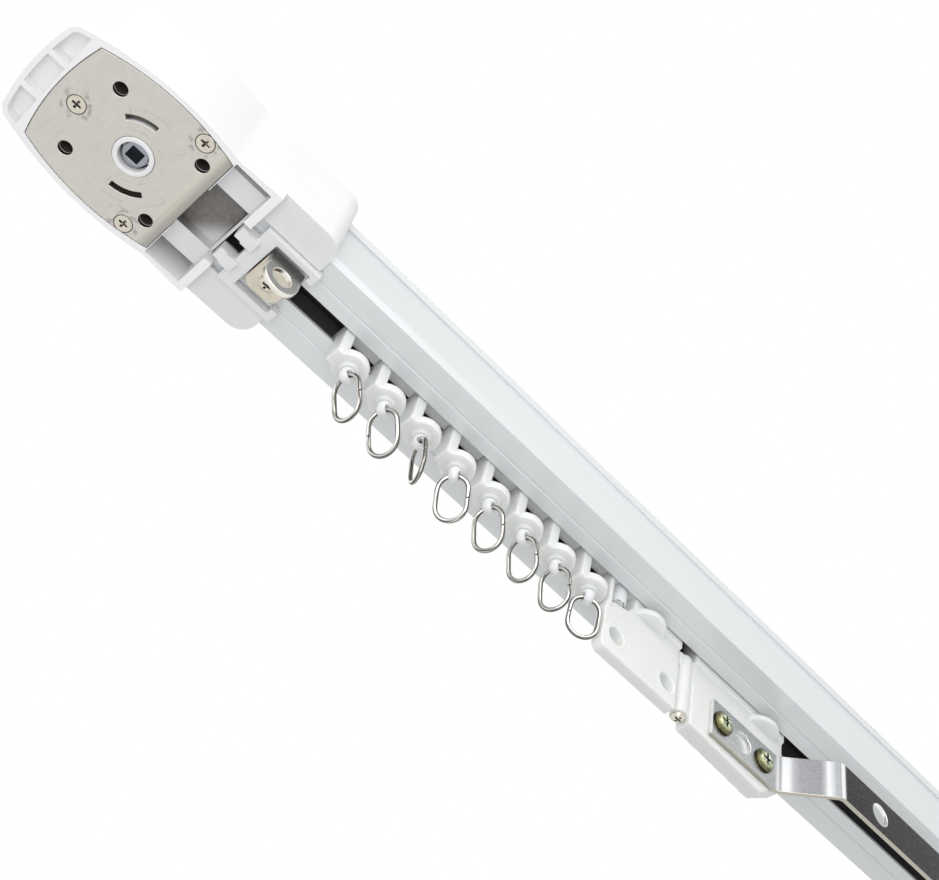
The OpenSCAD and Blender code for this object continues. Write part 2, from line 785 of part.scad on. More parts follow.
module ring(n) {
    color([0.78, 0.77, 0.74]) at_glider(n) translate([0, 0, -eye_hole_drop])
        rotate(eye_turn[n - 1]) rotate([0, -ring_swing[n - 1], 0]) translate([0, 0, ring_seat])
            mirror([0, len(search(n, mirrored_rings)), 0]) wire_ring();
}

// Master carrier

// A plate in the XZ plane, from an outline in x and height.
module upright(y0, y1, points) {
    translate([0, y1, 0]) rotate([90, 0, 0]) linear_extrude(y1 - y0) polygon(points);
}

module cross_hole(x, z, r, y0, y1) {
    translate([x, y0, z]) rotate([-90, 0, 0]) cylinder(h = y1 - y0, r = r);
}

// The shoe inside the rail, with an axle hole between its two cheeks.
module carrier_shoe(x0, x1, axle_x) {
    difference() {
        block([x0, -carrier_half_w, shoe_low], [x1, carrier_half_w, shoe_low + carrier_h]);
        cross_hole(axle_x, wheel_z, wheel_axle_r + touch, -20, 20);
    }
}

module carrier_front() {
    x0 = carrier_x;
    x1 = notch_x;
    bend = 3;
    color([0.95, 0.95, 0.94]) under() difference() {
        union() {
            upright(-fin_t / 2, fin_t / 2, concat(
                [[x0, -shoulder_drop], [x0, -fin_drop + bend]],
                [for (a = [198:18:270]) [x0 + bend + bend * cos(a), -fin_drop + bend + bend * sin(a)]],
                [[x1, -fin_drop], [x1, -guide_drop], [front_neck_x, -guide_drop],
                    [front_neck_x - 2, -shoulder_drop + 3]]));
            block([front_neck_x, -neck_half_w, -guide_drop - eps], [x1, neck_half_w, shoe_low + eps]);
            block([x0, -neck_half_w, -shoulder_drop - 2], [x0 + 1.6, neck_half_w, shoe_low + eps]);
            translate([guide_discs_at[0], 0, 0]) post(guide_r, -guide_drop - guide_t, -guide_drop);
            carrier_shoe(x0, x1, axles_at[0]);
            for (x = fin_holes_at)
                cross_hole(x, -fin_hole_drop, fin_hole_r + 0.9, -fin_t / 2 - 0.3, fin_t / 2 + 0.3);
        }
        for (x = fin_holes_at)
            cross_hole(x, -fin_hole_drop, fin_hole_r, -fin_t, fin_t);
        translate([pin_x, 0, 0]) post(pin_r + touch, -pin_drop - 1, shoe_low + 2);
    }
}

module carrier_rear() {
    x0 = rear_x;
    x1 = rear_end_x;
    color([0.95, 0.95, 0.94]) under() difference() {
        union() {
            upright(-fin_t / 2, rear_back_y, [[x0, -guide_drop], [x0, -fin_drop], [cut_x, -rear_drop],
                [x1, -cut_drop], [x1, -guide_drop]]);
            upright(-fin_t / 2, fin_t / 2, [[notch_x + fit_gap, -guide_drop], [notch_x + fit_gap, -8],
                [x0 + eps, -12], [x0 + eps, -guide_drop]]);
            block([x0, -neck_half_w, -guide_drop - eps], [x1, neck_half_w, shoe_low + eps]);
            translate([guide_discs_at[1], 0, 0]) post(guide_r, -guide_drop - guide_t, -guide_drop);
            carrier_shoe(x0, x1, axles_at[1]);
            translate([boss_x, 0, 0]) post(screw_boss_r, -fin_drop + 1.5, -guide_drop);
            block([boss_x, -1, -fin_drop + 4], [x0 + eps, 1, -10]);
        }
        translate([boss_x, 0, 0]) post(carrier_screw_r + touch, -fin_drop, -fin_drop + 13);
        for (x = arm_screws_at)
            cross_hole(x, -arm_mid_drop, arm_screw_r + touch, -fin_t, rear_back_y - 0.8);
        cross_hole(arm_slot_x, -arm_mid_drop, arm_hole_r - 1, -fin_t, rear_back_y - 1.5);
    }
}

module carrier_pin() {
    color([0.93, 0.93, 0.92]) under(pin_x) union() {
        post(pin_r, -pin_drop + 0.6, shoe_low + 1.9);
        translate([0, 0, -pin_drop]) cylinder(h = 0.6, r1 = pin_r - 0.6, r2 = pin_r);
    }
}

module carrier_screw() {
    color([0.76, 0.74, 0.68]) under(boss_x) translate([0, 0, -fin_drop + 1.5])
        round_screw(carrier_screw_head_r, carrier_screw_head_h, carrier_screw_r, carrier_screw_len);
}

module wheel_axle(x) {
    half = shoe_half_w - 0.1;
    under() cross_hole(x, wheel_z, wheel_axle_r, -half, half);
}

module wheel_pair(x) {
    under() for (s = [0, 1]) mirror([0, s, 0]) difference() {
        cross_hole(x, wheel_z, wheel_r, shoe_half_w - wheel_w - 0.1, shoe_half_w - 0.1);
        cross_hole(x, wheel_z, wheel_axle_r + 0.06, 0, 20);
    }
}

module front_axle() {
    color([0.75, 0.76, 0.78]) wheel_axle(axles_at[0]);
}

module rear_axle() {
    color([0.75, 0.76, 0.78]) wheel_axle(axles_at[1]);
}

module front_wheels() {
    color([0.92, 0.92, 0.90]) wheel_pair(axles_at[0]);
}

module rear_wheels() {
    color([0.92, 0.92, 0.90]) wheel_pair(axles_at[1]);
}

// The clamp reaches from the shoe over the belt and down its outer side.
module belt_clamp() {
    jaw_t = 1.3;
    out_y = belt_out_r + fit_gap + 0.05;
    bridge_z = belt_z + belt_w / 2 + fit_gap;
    color([0.30, 0.31, 0.33]) under() {
        block([clamp_x, carrier_half_w, shoe_low + 3], [clamp_x + clamp_len, belt_in_r - fit_gap - 0.05,
            bridge_z + 1.2]);
        block([clamp_x, belt_in_r - 2, bridge_z], [clamp_x + clamp_len, out_y + jaw_t, bridge_z + 1.2]);
        block([clamp_x, out_y, belt_z - 3], [clamp_x + clamp_len, out_y + jaw_t, bridge_z + eps]);
    }
}

// A strip with two bends, each of two arcs round one centre.
module overlap_arm() {
    y = arm_face_y;
    far = arm_bend_x + arm_step_len;
    tip = far + arm_reach;
    slope = atan2(arm_step, arm_step_len);
    in_r = arm_bend_r;
    out_r = arm_bend_r + arm_t;
    span = (in_r + out_r - (in_r + out_r - arm_step) * cos(slope)) / sin(slope);
    first = [arm_bend_x + (arm_step_len - span) / 2, y - in_r];
    second = [first[0] + span, y - arm_step + out_r];
    color([0.78, 0.79, 0.81]) under() difference() {
        translate([0, 0, -arm_drop - arm_h]) linear_extrude(arm_h) polygon(concat(
            [[arm_x, y]],
            arc(first[0], first[1], in_r, 90, 90 - slope, 8),
            arc(second[0], second[1], out_r, 270 - slope, 270, 8),
            [[tip, y - arm_step], [tip, y - arm_step + arm_t]],
            arc(second[0], second[1], in_r, 270, 270 - slope, 8),
            arc(first[0], first[1], out_r, 90 - slope, 90, 8),
            [[arm_x, y + arm_t]]));
        for (x = arm_screws_at)
            cross_hole(x, -arm_mid_drop, arm_screw_r + 0.2, y - 1, 0);
        cross_hole(arm_slot_x, -arm_mid_drop, arm_hole_r, y - 1, 0);
        cross_hole(arm_far_hole_x, -arm_mid_drop, arm_hole_r, y - arm_step - 1, y - arm_step + 3);
    }
}

module arm_screws() {
    color([0.76, 0.78, 0.60]) under()
        for (x = arm_screws_at)
            translate([x, arm_face_y, -arm_mid_drop]) rotate([-90, 0, 0])
                round_screw(arm_screw_head_r, screw_head_h, arm_screw_r, 6);
}

// Return unit

// The return unit's outline, with small corners at the rail's side and large ones at its end.
module return_plan() {
    intersection() {
        round_rect(-return_sleeve, -sleeve_half_w, return_len + 20, sleeve_half_w, 3);
        round_rect(-return_sleeve - 20, -sleeve_half_w, return_len, sleeve_half_w, return_corner_r);
    }
}

module return_housing() {
    color([0.97, 0.97, 0.96]) under(rail_end) difference() {
        translate([0, 0, -flap_t]) linear_extrude(head_top + flap_t) return_plan();
        rail_room(-return_sleeve - 1, fit_gap);
        translate([idler_gap, 0, 0]) post(chamber_r, -flap_t + plate_t - eps, chamber_top);
        block([0, -chamber_r, chamber_low], [idler_gap, chamber_r, chamber_top]);
        translate([0, 0, -flap_t - 1]) linear_extrude(plate_t + 1)
            round_rect(return_plate_x - fit_gap, -return_plate_half_w - fit_gap,
                idler_gap * 2 - return_plate_x + fit_gap, return_plate_half_w + fit_gap,
                return_plate_corner_r + fit_gap);
        translate([idler_gap, 0, 0]) post(axle_r + touch, 0, chamber_top + 4);
        for (s = [-1, 1])
            translate([idler_gap, s * return_screw_y, -flap_t])
                post(return_screw_r + touch, 0, return_screw_len + 1);
    }
}

module return_plate() {
    color([0.80, 0.79, 0.77]) under(rail_end) difference() {
        translate([0, 0, -flap_t]) linear_extrude(plate_t)
            round_rect(return_plate_x, -return_plate_half_w, idler_gap * 2 - return_plate_x,
                return_plate_half_w, return_plate_corner_r);
        translate([idler_gap, 0, 0]) post(axle_r + touch, -flap_t - 1, 1);
        for (s = [-1, 1])
            translate([idler_gap, s * return_screw_y, -flap_t])
                flat_screw_hole(return_screw_head_r, return_screw_r, return_screw_len);
    }
}

module return_screws() {
    color([0.75, 0.73, 0.66]) under(rail_end)
        for (s = [-1, 1])
            translate([idler_gap, s * return_screw_y, -flap_t])
                flat_screw(return_screw_head_r, return_screw_r, return_screw_len);
}

module idler_axle() {
    color([0.75, 0.76, 0.78]) under(idler_x) post(axle_r, -flap_t, chamber_top + 3.8);
}

module idler_pulley() {
    color([0.20, 0.20, 0.22]) under(idler_x) difference() {
        union() {
            post(pulley_tip_r, pulley_z, pulley_z + pulley_h);
            post(flange_r, pulley_z, pulley_z + flange_t);
            post(flange_r, pulley_z + pulley_h - flange_t, pulley_z + pulley_h);
        }
        post(axle_r + 0.06, pulley_z - 1, pulley_z + pulley_h + 1);
    }
}

rail();
drive_belt();
gear_housing();
base_plate();
plate_screws();
hub_bush();
bearing_holder();
lower_bearing();
upper_bearing();
drive_pulley();
drive_shaft();
lock_clip();
lock_bracket();
bracket_screw();
rail_nut();
glider(1);  // glider_1
glider(2);  // glider_2
glider(3);  // glider_3
glider(4);  // glider_4
glider(5);  // glider_5
glider(6);  // glider_6
glider(7);  // glider_7
glider(8);  // glider_8
swivel_eye(1);  // swivel_eye_1
swivel_eye(2);  // swivel_eye_2
swivel_eye(3);  // swivel_eye_3
swivel_eye(4);  // swivel_eye_4
swivel_eye(5);  // swivel_eye_5
swivel_eye(6);  // swivel_eye_6
swivel_eye(7);  // swivel_eye_7
swivel_eye(8);  // swivel_eye_8
ring(1);  // ring_1
ring(2);  // ring_2
ring(3);  // ring_3
ring(4);  // ring_4
ring(5);  // ring_5
ring(6);  // ring_6
ring(7);  // ring_7
ring(8);  // ring_8
carrier_front();
carrier_rear();
carrier_pin();
carrier_screw();
front_axle();
front_wheels();
rear_axle();
rear_wheels();
belt_clamp();
overlap_arm();
arm_screws();
return_housing();
return_plate();
return_screws();
idler_axle();
idler_pulley();
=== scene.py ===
"""Electric curtain track: the looks of its drive head, rail, gliders, carrier, arm and return unit."""

import json
import math

import bmesh
import bpy
import numpy as np
from bpy.props import FloatProperty, FloatVectorProperty, PointerProperty
from mathutils import Matrix, Vector


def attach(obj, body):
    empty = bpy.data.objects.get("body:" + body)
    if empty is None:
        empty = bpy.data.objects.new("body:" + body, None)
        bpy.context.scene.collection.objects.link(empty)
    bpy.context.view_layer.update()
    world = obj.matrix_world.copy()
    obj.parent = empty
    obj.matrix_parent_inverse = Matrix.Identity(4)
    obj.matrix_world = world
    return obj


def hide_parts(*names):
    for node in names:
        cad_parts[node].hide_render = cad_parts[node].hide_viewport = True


bl_info = {
    "name": "Electric Curtain Track",
    "version": (1, 0, 0),
    "blender": (4, 5, 0),
    "location": "3D Viewport > Sidebar > Curtain Track",
    "description": "Builds the pieces and finishes of a belt-driven curtain track",
    "category": "Object",
}

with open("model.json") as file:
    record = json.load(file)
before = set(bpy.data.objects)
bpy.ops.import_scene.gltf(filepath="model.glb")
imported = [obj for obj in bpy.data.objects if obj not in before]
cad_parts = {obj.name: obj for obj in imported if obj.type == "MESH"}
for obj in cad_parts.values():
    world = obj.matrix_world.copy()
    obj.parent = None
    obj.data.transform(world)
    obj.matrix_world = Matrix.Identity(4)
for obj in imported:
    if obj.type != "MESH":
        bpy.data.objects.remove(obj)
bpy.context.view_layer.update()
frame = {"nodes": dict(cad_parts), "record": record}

MM = 0.001
GLIDERS = range(1, 9)
# Places from the frame, in metres: the drive hub's axis, the rail's height, the first glider, the step to
# the next one and the eye's height under the rail
HUB_X = -0.3357
RAIL_H = 23 * MM
GLIDER_X = -0.2485
GLIDER_PITCH = 15.54 * MM
EYE_DROP = 14 * MM
# How far each eye is turned and each ring swung at rest, in degrees, and the rings that hang the other way round
EYE_TURN = (8, 20, -18, 36, 20, 16, 20, 65)
RING_SWING = (24, 27, 10, 24, 20, 18, 14, 9)
RINGS_TURNED_ROUND = (2, 8)

# The frame's doubled points merge at this distance in metres, and its faces join below this angle in degrees
MERGE = 2e-6
FLAT = 0.6
# Edges sharper than this angle in degrees are rounded
EDGE_ANGLE = 28

# Places for the finishes, in millimetres from the hub's axis and from the rail's underside
HEAD_DROP = 5.1
HUB = (0, 0)
HUB_R = 6.36
CAVITY_R = 13.6
MOTOR_HOLE = (15, 13.7)
MOTOR_R = 2.4
PLATE_SCREWS = ((-20.7, 0), (11.2, -19.9), (11.2, 19.9))
SCREW_R = 2.92
ARC_R = 12.1
ARC_HALF_W = 0.95
PLATE_END = 20.2
# The open bay between the plate and the rail: its middle, half its length and half its width
BAY_X, BAY_HALF, BAY_HALF_W = 27.8, 6.7, 9.35
RAIL_INNER_Y = 15.62
RAIL_WALL_Y = 16.9
BRACKET_SCREW = ((52.85, 2),)
TAB_HOLE = (52.85, -10.2)
TAB_FACE = -6.3
CARRIER_SCREW = ((242.88, 0),)
ARM_SCREWS = ((260.38, -20.15), (282.08, -20.15))
ARM_FACE = -3.8
ARM_FAR_FACE = -20.3
ARM_START = 255.28
ARM_BEND_X = 289.68
ARM_LOW = -27.9
ARM_HOLES = ((271.38, -20.15), (324.98, -20.15))
ARM_HOLE_R = 4.25
RETURN_SCREWS = ((648.7, -13.6), (648.7, 13.6))

# Painted reflections along the arm: bright bands at its two bends and dark beyond, as grey levels from 1 mm before the
# first bend to 17 mm after it
BEND_RUN = (-1, 17)
ARM_PAINTED_REFLECTIONS = (
    (0.0, 0.50), (0.05, 0.74), (0.085, 0.40), (0.12, 0.92), (0.19, 0.86), (0.25, 0.50), (0.33, 0.34), (0.58, 0.30),
    (0.63, 0.52), (0.67, 0.92), (0.745, 0.94), (0.79, 0.62), (0.825, 0.40), (0.86, 0.95), (0.91, 0.84),
    (0.95, 0.06), (1.0, 0.012),
)


# How white the floor is to the camera, from its own lit paper at 0 to plain white at 1
FLOOR_WHITE = 0.7
# A ring's wire: points along it, points round it, and the points in the running mean of its path
WIRE_STEPS = 200
WIRE_SIDES = 44
WIRE_MEAN = 19


class TrackSizes(bpy.types.PropertyGroup):
    """Sizes that the looks add to the frame."""

    edge: FloatProperty(
        name="Moulded edge", description="Rounding of the moulded edges", default=0.5 * MM, unit="LENGTH"
    )
    metal_edge: FloatProperty(
        name="Sheet edge", description="Rounding of the sheet metal's edges", default=0.18 * MM, unit="LENGTH"
    )
    soft_grain: FloatProperty(
        name="Nylon grain", description="Mesh size of the soft nylon forms", default=0.26 * MM, unit="LENGTH"
    )
    wire_r: FloatProperty(name="Ring wire", description="Radius of the ring wire", default=0.75 * MM, unit="LENGTH")
    ring_len: FloatProperty(
        name="Ring length", description="Length of a ring between wire middles", default=15.7 * MM, unit="LENGTH"
    )
    ring_w: FloatProperty(
        name="Ring width", description="Width of a ring between wire middles", default=10 * MM, unit="LENGTH"
    )
    ring_gap: FloatProperty(
        name="Ring gap", description="Gap where the wire's ends meet", default=0.35 * MM, unit="LENGTH"
    )


class TrackColours(bpy.types.PropertyGroup):
    """Colours of the finishes, in linear light."""

    housing: FloatVectorProperty(
        name="Housing", description="Moulded housings", default=(0.82, 0.825, 0.835), subtype="COLOR"
    )
    rail: FloatVectorProperty(
        name="Rail", description="Coated rail", default=(0.76, 0.78, 0.79), subtype="COLOR"
    )
    nylon: FloatVectorProperty(
        name="Nylon", description="Gliders and carrier", default=(0.80, 0.815, 0.80), subtype="COLOR"
    )
    eye: FloatVectorProperty(
        name="Eye", description="Swivel eyes under the gliders", default=(0.84, 0.855, 0.88), subtype="COLOR"
    )
    steel: FloatVectorProperty(
        name="Plate", description="Nickelled base plate", default=(0.71, 0.69, 0.635), subtype="COLOR"
    )
    nickel: FloatVectorProperty(
        name="Nickel", description="Rings and bracket", default=(0.80, 0.77, 0.72), subtype="COLOR"
    )
    zinc: FloatVectorProperty(
        name="Zinc", description="Overlap arm", default=(0.42, 0.45, 0.47), subtype="COLOR"
    )
    # Painted shade: the colour that darkens deep recesses and gaps
    shade: FloatVectorProperty(
        name="Recess", description="Deep recesses and gaps", default=(0.10, 0.082, 0.074), subtype="COLOR"
    )


# Meshes


def new_piece(name, points, faces):
    """An object at the origin whose mesh holds the points and faces, in metres."""
    mesh = bpy.data.meshes.new(name)
    mesh.from_pydata([tuple(p) for p in np.asarray(points, float)], [], [tuple(f) for f in faces])
    mesh.validate()
    mesh.polygons.foreach_set("use_smooth", [True] * len(mesh.polygons))
    piece = bpy.data.objects.new(name, mesh)
    bpy.context.scene.collection.objects.link(piece)
    return piece


def ring_faces(rows, sides):
    """Quads between rows of points, numbered row by row, each row a closed ring, and a face over each end."""
    i = np.arange(rows - 1)[:, None]
    j = np.arange(sides)[None, :]
    a = i * sides + j
    b = i * sides + (j + 1) % sides
    faces = np.stack([a, b, b + sides, a + sides], -1).reshape(-1, 4).tolist()
    faces.append(list(range(sides))[::-1])
    faces.append([(rows - 1) * sides + k for k in range(sides)])
    return faces


def tube(path, radius, up, sides):
    """Points and faces of a round tube: a circle carried along the path, turned to stay square to it.

    The circle at point s is path(s) + radius(s) (cos t side(s) + sin t up(s)), where up is one fixed
    direction made square to the tangent, and side is tangent x up. Its two ends are closed.
    """
    path = np.asarray(path, float)
    tangent = np.gradient(path, axis=0)
    tangent /= np.linalg.norm(tangent, axis=1, keepdims=True)
    up = up - tangent * (tangent @ up)[:, None]
    up /= np.linalg.norm(up, axis=1, keepdims=True)
    side = np.cross(tangent, up)
    angle = np.linspace(0, 2 * np.pi, sides, endpoint=False)
    radius = np.broadcast_to(np.asarray(radius, float), len(path))[:, None, None]
    circle = np.cos(angle)[None, :, None] * side[:, None] + np.sin(angle)[None, :, None] * up[:, None]
    return (path[:, None] + radius * circle).reshape(-1, 3), ring_faces(len(path), sides)


def outwards(piece):
    """Turns every face of a piece outwards."""
    bm = bmesh.new()
    bm.from_mesh(piece.data)
    bmesh.ops.recalc_face_normals(bm, faces=bm.faces)
    bm.to_mesh(piece.data)
    bm.free()
    return piece


def merged_copy(node):
    """A copy of a frame node's mesh with its doubled points merged and its flat faces joined again."""
    mesh = frame["nodes"][node].data.copy()
    bm = bmesh.new()
    bm.from_mesh(mesh)
    bmesh.ops.remove_doubles(bm, verts=bm.verts, dist=MERGE)
    bmesh.ops.dissolve_limit(bm, angle_limit=math.radians(FLAT), verts=bm.verts, edges=bm.edges)
    bmesh.ops.triangulate(bm, faces=[face for face in bm.faces if len(face.verts) > 4])
    bmesh.ops.recalc_face_normals(bm, faces=bm.faces)
    bm.to_mesh(mesh)
    bm.free()
    mesh.materials.clear()
    mesh.polygons.foreach_set("use_smooth", [True] * len(mesh.polygons))
    piece = bpy.data.objects.new(node + "_finished", mesh)
    bpy.context.scene.collection.objects.link(piece)
    return piece


def block(low, high):
    """Points and faces of a box between two corners."""
    corners = np.array([(x, y, z) for z in (0, 1) for y in (0, 1) for x in (0, 1)])
    faces = [(0, 2, 3, 1), (4, 5, 7, 6), (0, 1, 5, 4), (2, 6, 7, 3), (0, 4, 6, 2), (1, 3, 7, 5)]
    return np.array(low) + corners * (np.array(high) - np.array(low)), faces


def post(radius, low, high, sides=64):
    """Points and faces of an upright cylinder round the height axis: circles at two heights, closed."""
    turn = np.linspace(0, 2 * np.pi, sides, endpoint=False)
    circle = np.stack([radius * np.cos(turn), radius * np.sin(turn)], -1)
    return np.concatenate([np.insert(circle, 2, z, axis=1) for z in (low, high)]), ring_faces(2, sides)


def joined(name, parts, origin):
    """One object of several closed parts, given in millimetres round an origin in metres."""
    points, faces = [], []
    for part, part_faces in parts:
        start = len(points)
        points.extend(np.asarray(part) * MM + np.asarray(origin))
        faces.extend([[start + k for k in face] for face in part_faces])
    return new_piece(name, points, faces)


def melted(piece, grain, rounds):
    """Turns a piece into one soft moulding: filled with cells of one size and relaxed."""
    cells = piece.modifiers.new("Cells", "REMESH")
    cells.mode = "VOXEL"
    cells.voxel_size = grain
    cells.use_smooth_shade = True
    relax = piece.modifiers.new("Relax", "SMOOTH")
    relax.factor = 0.5
    relax.iterations = rounds
    mesh = bpy.data.meshes.new_from_object(piece.evaluated_get(bpy.context.evaluated_depsgraph_get()))
    mesh.name = piece.name
    piece.modifiers.clear()
    piece.data = mesh
    return piece


def shifted(piece, name, dx):
    """A copy of a finished piece, moved along the rail in its mesh."""
    mesh = piece.data.copy()
    place = np.empty(len(mesh.vertices) * 3)
    mesh.vertices.foreach_get("co", place)
    place[0::3] += dx
    mesh.vertices.foreach_set("co", place)
    mesh.update()
    copy = bpy.data.objects.new(name, mesh)
    bpy.context.scene.collection.objects.link(copy)
    return copy


def dressed(piece, node, material):
    """Gives a piece its material and lets it stand for a frame node, on its body."""
    record = frame["record"]
    body = next(b for b, nodes in record["behaviour"]["bodies"].items() if node in nodes)
    piece.data.materials.clear()
    piece.data.materials.append(material)
    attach(piece, body)
    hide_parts(node)


def dress(node, material, width, segments=3, clamp=False):
    """Replaces a frame node by its copy with rounded edges."""
    piece = merged_copy(node)
    bevel = piece.modifiers.new("Edges", "BEVEL")
    bevel.width = width
    bevel.segments = segments
    bevel.limit_method = "ANGLE"
    bevel.angle_limit = math.radians(EDGE_ANGLE)
    bevel.use_clamp_overlap = clamp
    bevel.miter_outer = "MITER_ARC"
    normals = piece.modifiers.new("Flat faces stay flat", "WEIGHTED_NORMAL")
    normals.weight = 100
    dressed(piece, node, material)


def soften(node, material, grain, rounds):
    """Replaces a frame node by its soft copy."""
    dressed(melted(merged_copy(node), grain, rounds), node, material)


# Materials


def material(name, colour, roughness, metallic=0.0):
    """A material and its Principled shader."""
    mat = bpy.data.materials.new(name)
    mat.use_nodes = True
    shader = mat.node_tree.nodes["Principled BSDF"]
    shader.inputs["Base Color"].default_value = (*colour, 1)
    shader.inputs["Roughness"].default_value = roughness
    shader.inputs["Metallic"].default_value = metallic
    return mat, shader


def add(mat, kind, **values):
    """A new node with its settings and input values."""
    node = mat.node_tree.nodes.new(kind)
    for key, value in values.items():
        if hasattr(node, key):
            setattr(node, key, value)
        else:
            node.inputs[key.replace("_", " ")].default_value = value
    return node


def link(mat, a, b):
    """Joins an output to an input."""
    mat.node_tree.links.new(a, b)


def object_noise(mat, scale, stretch=(1, 1, 1), detail=3.0):
    """Noise on Object coordinates, with the sizes given per metre and stretched along the axes."""
    place = add(mat, "ShaderNodeTexCoord")
    mapping = add(mat, "ShaderNodeMapping")
    mapping.inputs["Scale"].default_value = stretch
    noise = add(mat, "ShaderNodeTexNoise")
    noise.inputs["Scale"].default_value = scale
    noise.inputs["Detail"].default_value = detail
    link(mat, place.outputs["Object"], mapping.inputs["Vector"])
    link(mat, mapping.outputs["Vector"], noise.inputs["Vector"])
    return noise


def vary_colour(mat, shader, noise, dark, light):
    """Base colour between two tones, by the noise."""
    ramp = add(mat, "ShaderNodeValToRGB")
    ramp.color_ramp.elements[0].position = 0.3
    ramp.color_ramp.elements[1].position = 0.7
    ramp.color_ramp.elements[0].color = (*dark, 1)
    ramp.color_ramp.elements[1].color = (*light, 1)
    link(mat, noise.outputs["Fac"], ramp.inputs["Fac"])
    link(mat, ramp.outputs["Color"], shader.inputs["Base Color"])


def vary_roughness(mat, shader, noise, low, high):
    """Roughness between two values, by the noise."""
    spread = add(mat, "ShaderNodeMapRange")
    spread.inputs["To Min"].default_value = low
    spread.inputs["To Max"].default_value = high
    link(mat, noise.outputs["Fac"], spread.inputs["Value"])
    link(mat, spread.outputs["Result"], shader.inputs["Roughness"])


def add_bump(mat, shader, height, distance, strength):
    """A bump of this height in metres, by the noise."""
    bump = add(mat, "ShaderNodeBump")
    bump.inputs["Strength"].default_value = strength
    bump.inputs["Distance"].default_value = distance
    link(mat, height.outputs["Fac"], bump.inputs["Height"])
    link(mat, bump.outputs["Normal"], shader.inputs["Normal"])


class Field:
    """A number at every point of a surface, worked out by Math nodes."""

    def __init__(self, mat, socket):
        self.mat = mat
        self.socket = socket

    def by(self, operation, *others):
        """A math operation on this field and others, or plain numbers."""
        node = add(self.mat, "ShaderNodeMath", operation=operation)
        for k, value in enumerate((self, *others)):
            if isinstance(value, Field):
                link(self.mat, value.socket, node.inputs[k])
            else:
                node.inputs[k].default_value = value
        return Field(self.mat, node.outputs[0])

    def __add__(self, other):
        return self.by("ADD", other)

    def __sub__(self, other):
        return self.by("SUBTRACT", other)

    def __mul__(self, other):
        return self.by("MULTIPLY", other)

    def __abs__(self):
        return self.by("ABSOLUTE")

    def ramp(self, start, end, low=0.0, high=1.0):
        """A smooth step from low at start to high at end."""
        node = add(self.mat, "ShaderNodeMapRange", interpolation_type="SMOOTHSTEP")
        link(self.mat, self.socket, node.inputs["Value"])
        for name, value in (("From Min", start), ("From Max", end), ("To Min", low), ("To Max", high)):
            node.inputs[name].default_value = value
        return Field(self.mat, node.outputs["Result"])

    def above(self, limit, soft=0.02):
        """1 over the limit and 0 under it, with a soft edge."""
        return self.ramp(limit - soft, limit + soft)

    def below(self, limit, soft=0.02):
        """1 under the limit and 0 over it."""
        return self.ramp(limit - soft, limit + soft, 1.0, 0.0)

    def near(self, middle, half, soft=0.04):
        """1 within half a width of the middle."""
        return abs(self - middle).below(half, soft)


def places(mat):
    """The three Object coordinates in millimetres: x from the hub, y, and height over the rail's underside."""
    coordinates = add(mat, "ShaderNodeTexCoord")
    to_mm = add(mat, "ShaderNodeMapping")
    to_mm.inputs["Scale"].default_value = (1 / MM, 1 / MM, 1 / MM)
    to_mm.inputs["Location"].default_value = (-HUB_X / MM, 0, RAIL_H / MM)
    split = add(mat, "ShaderNodeSeparateXYZ")
    link(mat, coordinates.outputs["Object"], to_mm.inputs["Vector"])
    link(mat, to_mm.outputs["Vector"], split.inputs["Vector"])
    return [Field(mat, split.outputs[k]) for k in range(3)]


def distance(a, b, centre):
    """How far a point is from an axis through a centre, along the third axis."""
    da, db = a - centre[0], b - centre[1]
    return (da * da + db * db).by("SQRT")


def nearest(a, b, centres):
    """How far a point is from the nearest of several such axes."""
    first, *rest = [distance(a, b, centre) for centre in centres]
    for other in rest:
        first = first.by("MINIMUM", other)
    return first


def noise_field(mat, scale, detail):
    """Noise between 0 and 1, as a field."""
    return Field(mat, object_noise(mat, scale, detail=detail).outputs["Fac"])


def tint(mat, shader, mask, colour):
    """Turns the base colour to another one where the mask is 1."""
    mix = add(mat, "ShaderNodeMix", data_type="RGBA")
    base = shader.inputs["Base Color"]
    if base.is_linked:
        link(mat, base.links[0].from_socket, mix.inputs[6])
    else:
        mix.inputs[6].default_value = base.default_value
    mix.inputs[7].default_value = (*colour, 1)
    link(mat, mask.socket, mix.inputs[0])
    link(mat, mix.outputs[2], base)


def moulded_plastic(name, colour, roughness=0.38, translucent=0.0):
    """Satin moulding: a faint mottle in tone and gloss, and a very fine orange peel."""
    mat, shader = material(name, colour, roughness)
    tone = object_noise(mat, 60)
    vary_colour(mat, shader, tone, tuple(c * 0.975 for c in colour), colour)
    vary_roughness(mat, shader, object_noise(mat, 900, detail=2), roughness - 0.06, roughness + 0.08)
    add_bump(mat, shader, object_noise(mat, 2600, detail=2), 0.00002, 0.2)
    if translucent:
        shader.inputs["Subsurface Weight"].default_value = translucent
        shader.inputs["Subsurface Radius"].default_value = (1.0, 0.97, 0.93)
        shader.inputs["Subsurface Scale"].default_value = 0.003
    return mat, shader


def drawn_metal(name, colour, roughness, stretch, metallic=1.0, scale=120, contrast=0.06):
    """Metal with fine lines: the noise is stretched along the way that the sheet was drawn."""
    mat, shader = material(name, colour, roughness, metallic)
    lines = object_noise(mat, scale, stretch, detail=5)
    vary_colour(mat, shader, lines, tuple(c * (1 - contrast) for c in colour), colour)
    vary_roughness(mat, shader, object_noise(mat, 45, detail=4), roughness - 0.05, roughness + 0.1)
    add_bump(mat, shader, lines, 0.00003, 0.25)
    return mat, shader


